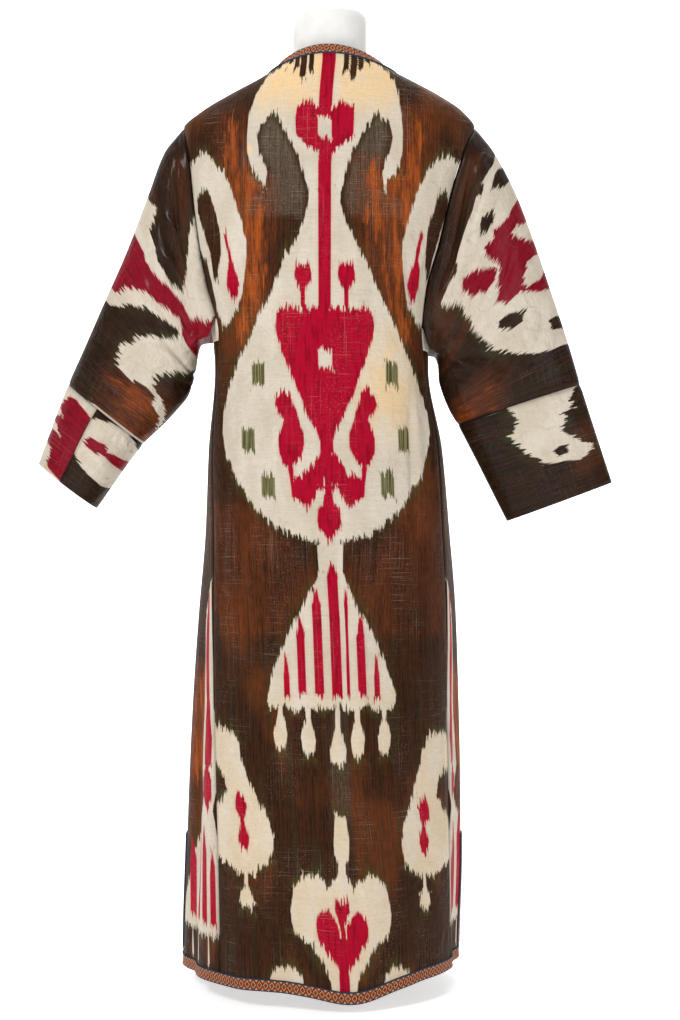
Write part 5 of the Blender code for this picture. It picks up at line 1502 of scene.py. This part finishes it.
# %% Form loft
FORM_COLUMNS = ("height", "half_width", "back", "front")
FORM = np.array((
    (0.600, 0.120, 0.082, 0.074), (0.604, 0.130, 0.092, 0.084), (0.620, 0.139, 0.100, 0.091),
    (0.720, 0.148, 0.110, 0.098), (0.820, 0.134, 0.096, 0.090), (0.900, 0.118, 0.082, 0.086),
    (0.960, 0.119, 0.082, 0.092), (1.020, 0.129, 0.090, 0.108), (1.070, 0.137, 0.097, 0.118),
    (1.130, 0.146, 0.100, 0.102), (1.170, 0.160, 0.096, 0.084), (1.200, 0.177, 0.090, 0.074),
    (1.222, 0.187, 0.088, 0.068),
))
FORM_SIDES = 192
FORM_NECK = np.array(((1.304, 0.0580), (1.316, 0.0540), (1.334, 0.0525), (1.374, 0.0525),
                      (1.3806, 0.0512), (1.3842, 0.0480), (1.3857, 0.0440), (1.3860, 0.0380)))
NECK_CENTRE_X = -0.0025
FORM_CLEARANCE = 0.0020
FORM_FOOT, FORM_CROWN, CROWN_RADIUS, CAP_RINGS = 0.600, 1.3860, 0.038, 8


def form_rings():
    """Rings from the foot to the crown. The shoulders follow the robe's surface, moved in."""
    angle = np.linspace(0, 2 * np.pi, FORM_SIDES, endpoint=False)
    sine, cosine = np.sin(angle), np.cos(angle)
    low = np.concatenate([np.linspace(FORM_FOOT, 0.625, 12), np.linspace(0.635, 1.226, 70)])
    value = {n: read_table(FORM, FORM_COLUMNS, n, low)[:, None] for n in FORM_COLUMNS[1:]}
    depth = np.where(cosine > 0, value["back"], value["front"])
    torso = np.stack([value["half_width"] * sine, depth * cosine,
                      np.broadcast_to(low[:, None], depth.shape)], axis=-1)
    top = np.linspace(1.244, 1.2935, 12)
    turned = np.where(angle > np.pi, angle - 2 * np.pi, angle)
    ring_angle = np.linspace(-np.pi, np.pi, RING_STEPS + 1)
    arcs = np.array([np.interp(turned, ring_angle, ring) for ring in rings(top)[2]])
    level = np.repeat(top[:, None], FORM_SIDES, axis=1)
    shoulders = place(level, arcs) - (CLOTH_WALL + FORM_CLEARANCE) * outward(level, arcs)
    up = np.concatenate([np.linspace(1.304, 1.374, 24)[:-1], FORM_NECK[3:, 0]])
    radius = curve_through(FORM_NECK[:, 0], FORM_NECK[:, 1], up)[:, None]
    neck = np.stack([NECK_CENTRE_X + radius * sine, radius * cosine,
                     np.broadcast_to(up[:, None], (len(up), FORM_SIDES))], axis=-1)
    shrink = np.linspace(0.9, 0.06, CAP_RINGS)[:, None]
    crown = np.stack([NECK_CENTRE_X + CROWN_RADIUS * shrink * sine, CROWN_RADIUS * shrink * cosine,
                      np.full((CAP_RINGS, FORM_SIDES), FORM_CROWN)], axis=-1)
    foot = np.stack([0.12 * shrink[::-1] * sine, 0.078 * shrink[::-1] * cosine,
                     np.full((CAP_RINGS, FORM_SIDES), FORM_FOOT)], axis=-1)
    return np.concatenate([foot, torso, shoulders, neck, crown])


def close_loft(name, grid, material):
    """A loft of closed rings; each end ring is joined to a point in its middle."""
    rows, columns = grid.shape[:2]
    faces = grid_faces(rows, columns, True)
    points = np.concatenate([grid.reshape(-1, 3), grid[:1].mean(axis=1), grid[-1:].mean(axis=1)])
    ring = np.arange(columns)
    follow = (ring + 1) % columns
    low = np.stack([np.full(columns, rows * columns), follow, ring], axis=1)
    last = (rows - 1) * columns
    high = np.stack([np.full(columns, rows * columns + 1), last + ring, last + follow], axis=1)
    mesh = bpy.data.meshes.new(name)
    mesh.from_pydata(points.tolist(), [], [*faces.tolist(), *low.tolist(), *high.tolist()])
    mesh.materials.append(material)
    mesh.shade_smooth()
    thing = bpy.data.objects.new(name, mesh)
    bpy.context.scene.collection.objects.link(thing)
    return thing


form_grid = form_rings()
# A seam stands half a millimetre proud up the middle of the back.
from_middle = np.abs(form_grid[..., 0] - NECK_CENTRE_X) + (form_grid[..., 1] < 0)
form_grid[..., 1] += 0.0005 * np.exp(-((from_middle / 0.0016) ** 2))
form = close_loft("dress_form_torso", form_grid[:, ::-1], jersey)
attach(form, "root")
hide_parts("dress_form")
print("dress form:", len(form.data.polygons), "faces")

# %% [markdown]
# ## The stand
# A steel tube and a flat round base carry the form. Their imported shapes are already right, so they
# only get a brushed finish: fine scratches run round the tube and in rings on the base.

# %% Brushed steel
def make_brushed_steel():
    """Noise squeezed along the height gives fine rings, with a slow smudge in the roughness."""
    material, tree, shader = new_material("brushed steel")
    around = node(tree, "TexCoord").outputs["Object"]
    stretched = node(tree, "Mapping", {"Vector": around, "Scale": (30.0, 30.0, 900.0)}).outputs[0]
    brushed = node(tree, "TexNoise", {"Vector": stretched, "Scale": 1.0, "Detail": 4.0}).outputs["Fac"]
    smudge = node(tree, "TexNoise", {"Vector": around, "Scale": 18.0, "Detail": 3.0}).outputs["Fac"]
    colour = mix(tree, soft(tree, brushed, 0.3, 0.7), paint(172, 173, 175), paint(200, 200, 201))
    tree.links.new(colour, shader.inputs["Base Color"])
    shader.inputs["Metallic"].default_value = 1.0
    rough = maths(tree, "MULTIPLY_ADD", brushed, 0.18, maths(tree, "MULTIPLY_ADD", smudge, 0.12, 0.20))
    tree.links.new(rough, shader.inputs["Roughness"])
    bump = node(tree, "Bump", {"Height": brushed, "Strength": 0.25, "Distance": 0.0002}).outputs[0]
    tree.links.new(bump, shader.inputs["Normal"])
    return material


steel = make_brushed_steel()
for name in ("pole", "base"):
    for material_slot in frame["nodes"][name].material_slots:
        material_slot.material = steel
print("stand finished")

# %% [markdown]
# ## Floor, backdrop and light
# The photo has a plain white ground with a faint shadow under the hem. One sheet that curves up
# far behind the robe gives a ground with no horizon, and leaves room to walk round the robe. Its
# paper glows a little, more so far back, because it must stay white where the lights are weak.

# %% Floor and backdrop
BEND_RADIUS, FLOOR_FAR, FLOOR_NEAR, WALL_TOP, HALF_BACKDROP = 1.2, -5.2, 14.0, 9.0, 16


def sweep_points():
    """A profile carried sideways: flat floor, a quarter circle, then a straight wall."""
    turn = np.linspace(0, np.pi / 2, 24)
    curve = np.stack([FLOOR_FAR - BEND_RADIUS * np.sin(turn), BEND_RADIUS * (1 - np.cos(turn))], axis=1)
    profile = np.concatenate([[[FLOOR_NEAR, 0.0]], curve, [[FLOOR_FAR - BEND_RADIUS, WALL_TOP]]])
    sideways = np.linspace(-HALF_BACKDROP, HALF_BACKDROP, 13)
    x, index = np.meshgrid(sideways, np.arange(len(profile)), indexing="xy")
    return np.stack([x, profile[index, 0], profile[index, 1]], axis=-1)


def make_paper():
    """White paper whose own glow grows with the distance behind the robe."""
    material, tree, shader = new_material("backdrop paper")
    around = node(tree, "TexCoord").outputs["Object"]
    tone = node(tree, "TexNoise", {"Vector": around, "Scale": 3.0, "Detail": 5.0}).outputs["Fac"]
    colour = mix(tree, tone, paint(252, 252, 252), paint(246, 246, 246))
    tree.links.new(colour, shader.inputs["Base Color"])
    tree.links.new(colour, shader.inputs["Emission Color"])
    behind = node(tree, "SeparateXYZ", {0: around}).outputs["Y"]
    glow = maths(tree, "MULTIPLY_ADD", soft(tree, behind, -0.6, -3.2), 0.40, 0.62)
    tree.links.new(glow, shader.inputs["Emission Strength"])
    shader.inputs["Roughness"].default_value = 0.9
    shader.inputs["Specular IOR Level"].default_value = 0.1
    return material


sweep = sweep_points()
paper = put_mesh("backdrop", sweep.reshape(-1, 3), grid_faces(*sweep.shape[:2], False), {}, make_paper())

# %% [markdown]
# A round lamp at the photo's upper left gives the soft shadows and the sheen of the silk, and a
# wide weak one at the right fills them in. One in front lights the side that the photo hides, and
# one above the paper keeps it white. The world adds a little light from everywhere.

# %% Lights
LIGHTS = (
    # name, place, aim, size, watts
    ("key", (1.7, 3.2, 2.9), (0.0, 0.0, 0.8), 1.1, 88.0),
    ("fill", (-2.6, 3.0, 1.6), (0.0, 0.0, 0.7), 2.0, 24.0),
    ("front", (-0.6, -2.6, 3.4), (0.0, 0.0, 0.7), 1.8, 30.0),
    ("ground", (0.0, -0.9, 3.2), (0.0, -2.4, 0.6), 3.0, 60.0),
)
for name, at, aim, size, power in LIGHTS:
    light = bpy.data.lights.new(name, "AREA")
    light.shape, light.size, light.energy = "DISK", size, power
    lamp = bpy.data.objects.new(name, light)
    lamp.location = at
    direction = Vector(aim) - Vector(at)
    lamp.rotation_euler = direction.to_track_quat("-Z", "Y").to_euler()
    bpy.context.scene.collection.objects.link(lamp)
world = bpy.data.worlds.new("studio")
world.use_nodes = True
world.node_tree.nodes["Background"].inputs["Color"].default_value = (1.0, 1.0, 1.0, 1.0)
world.node_tree.nodes["Background"].inputs["Strength"].default_value = 0.12
bpy.context.scene.world = world
bpy.context.scene.view_settings.view_transform = "Standard"
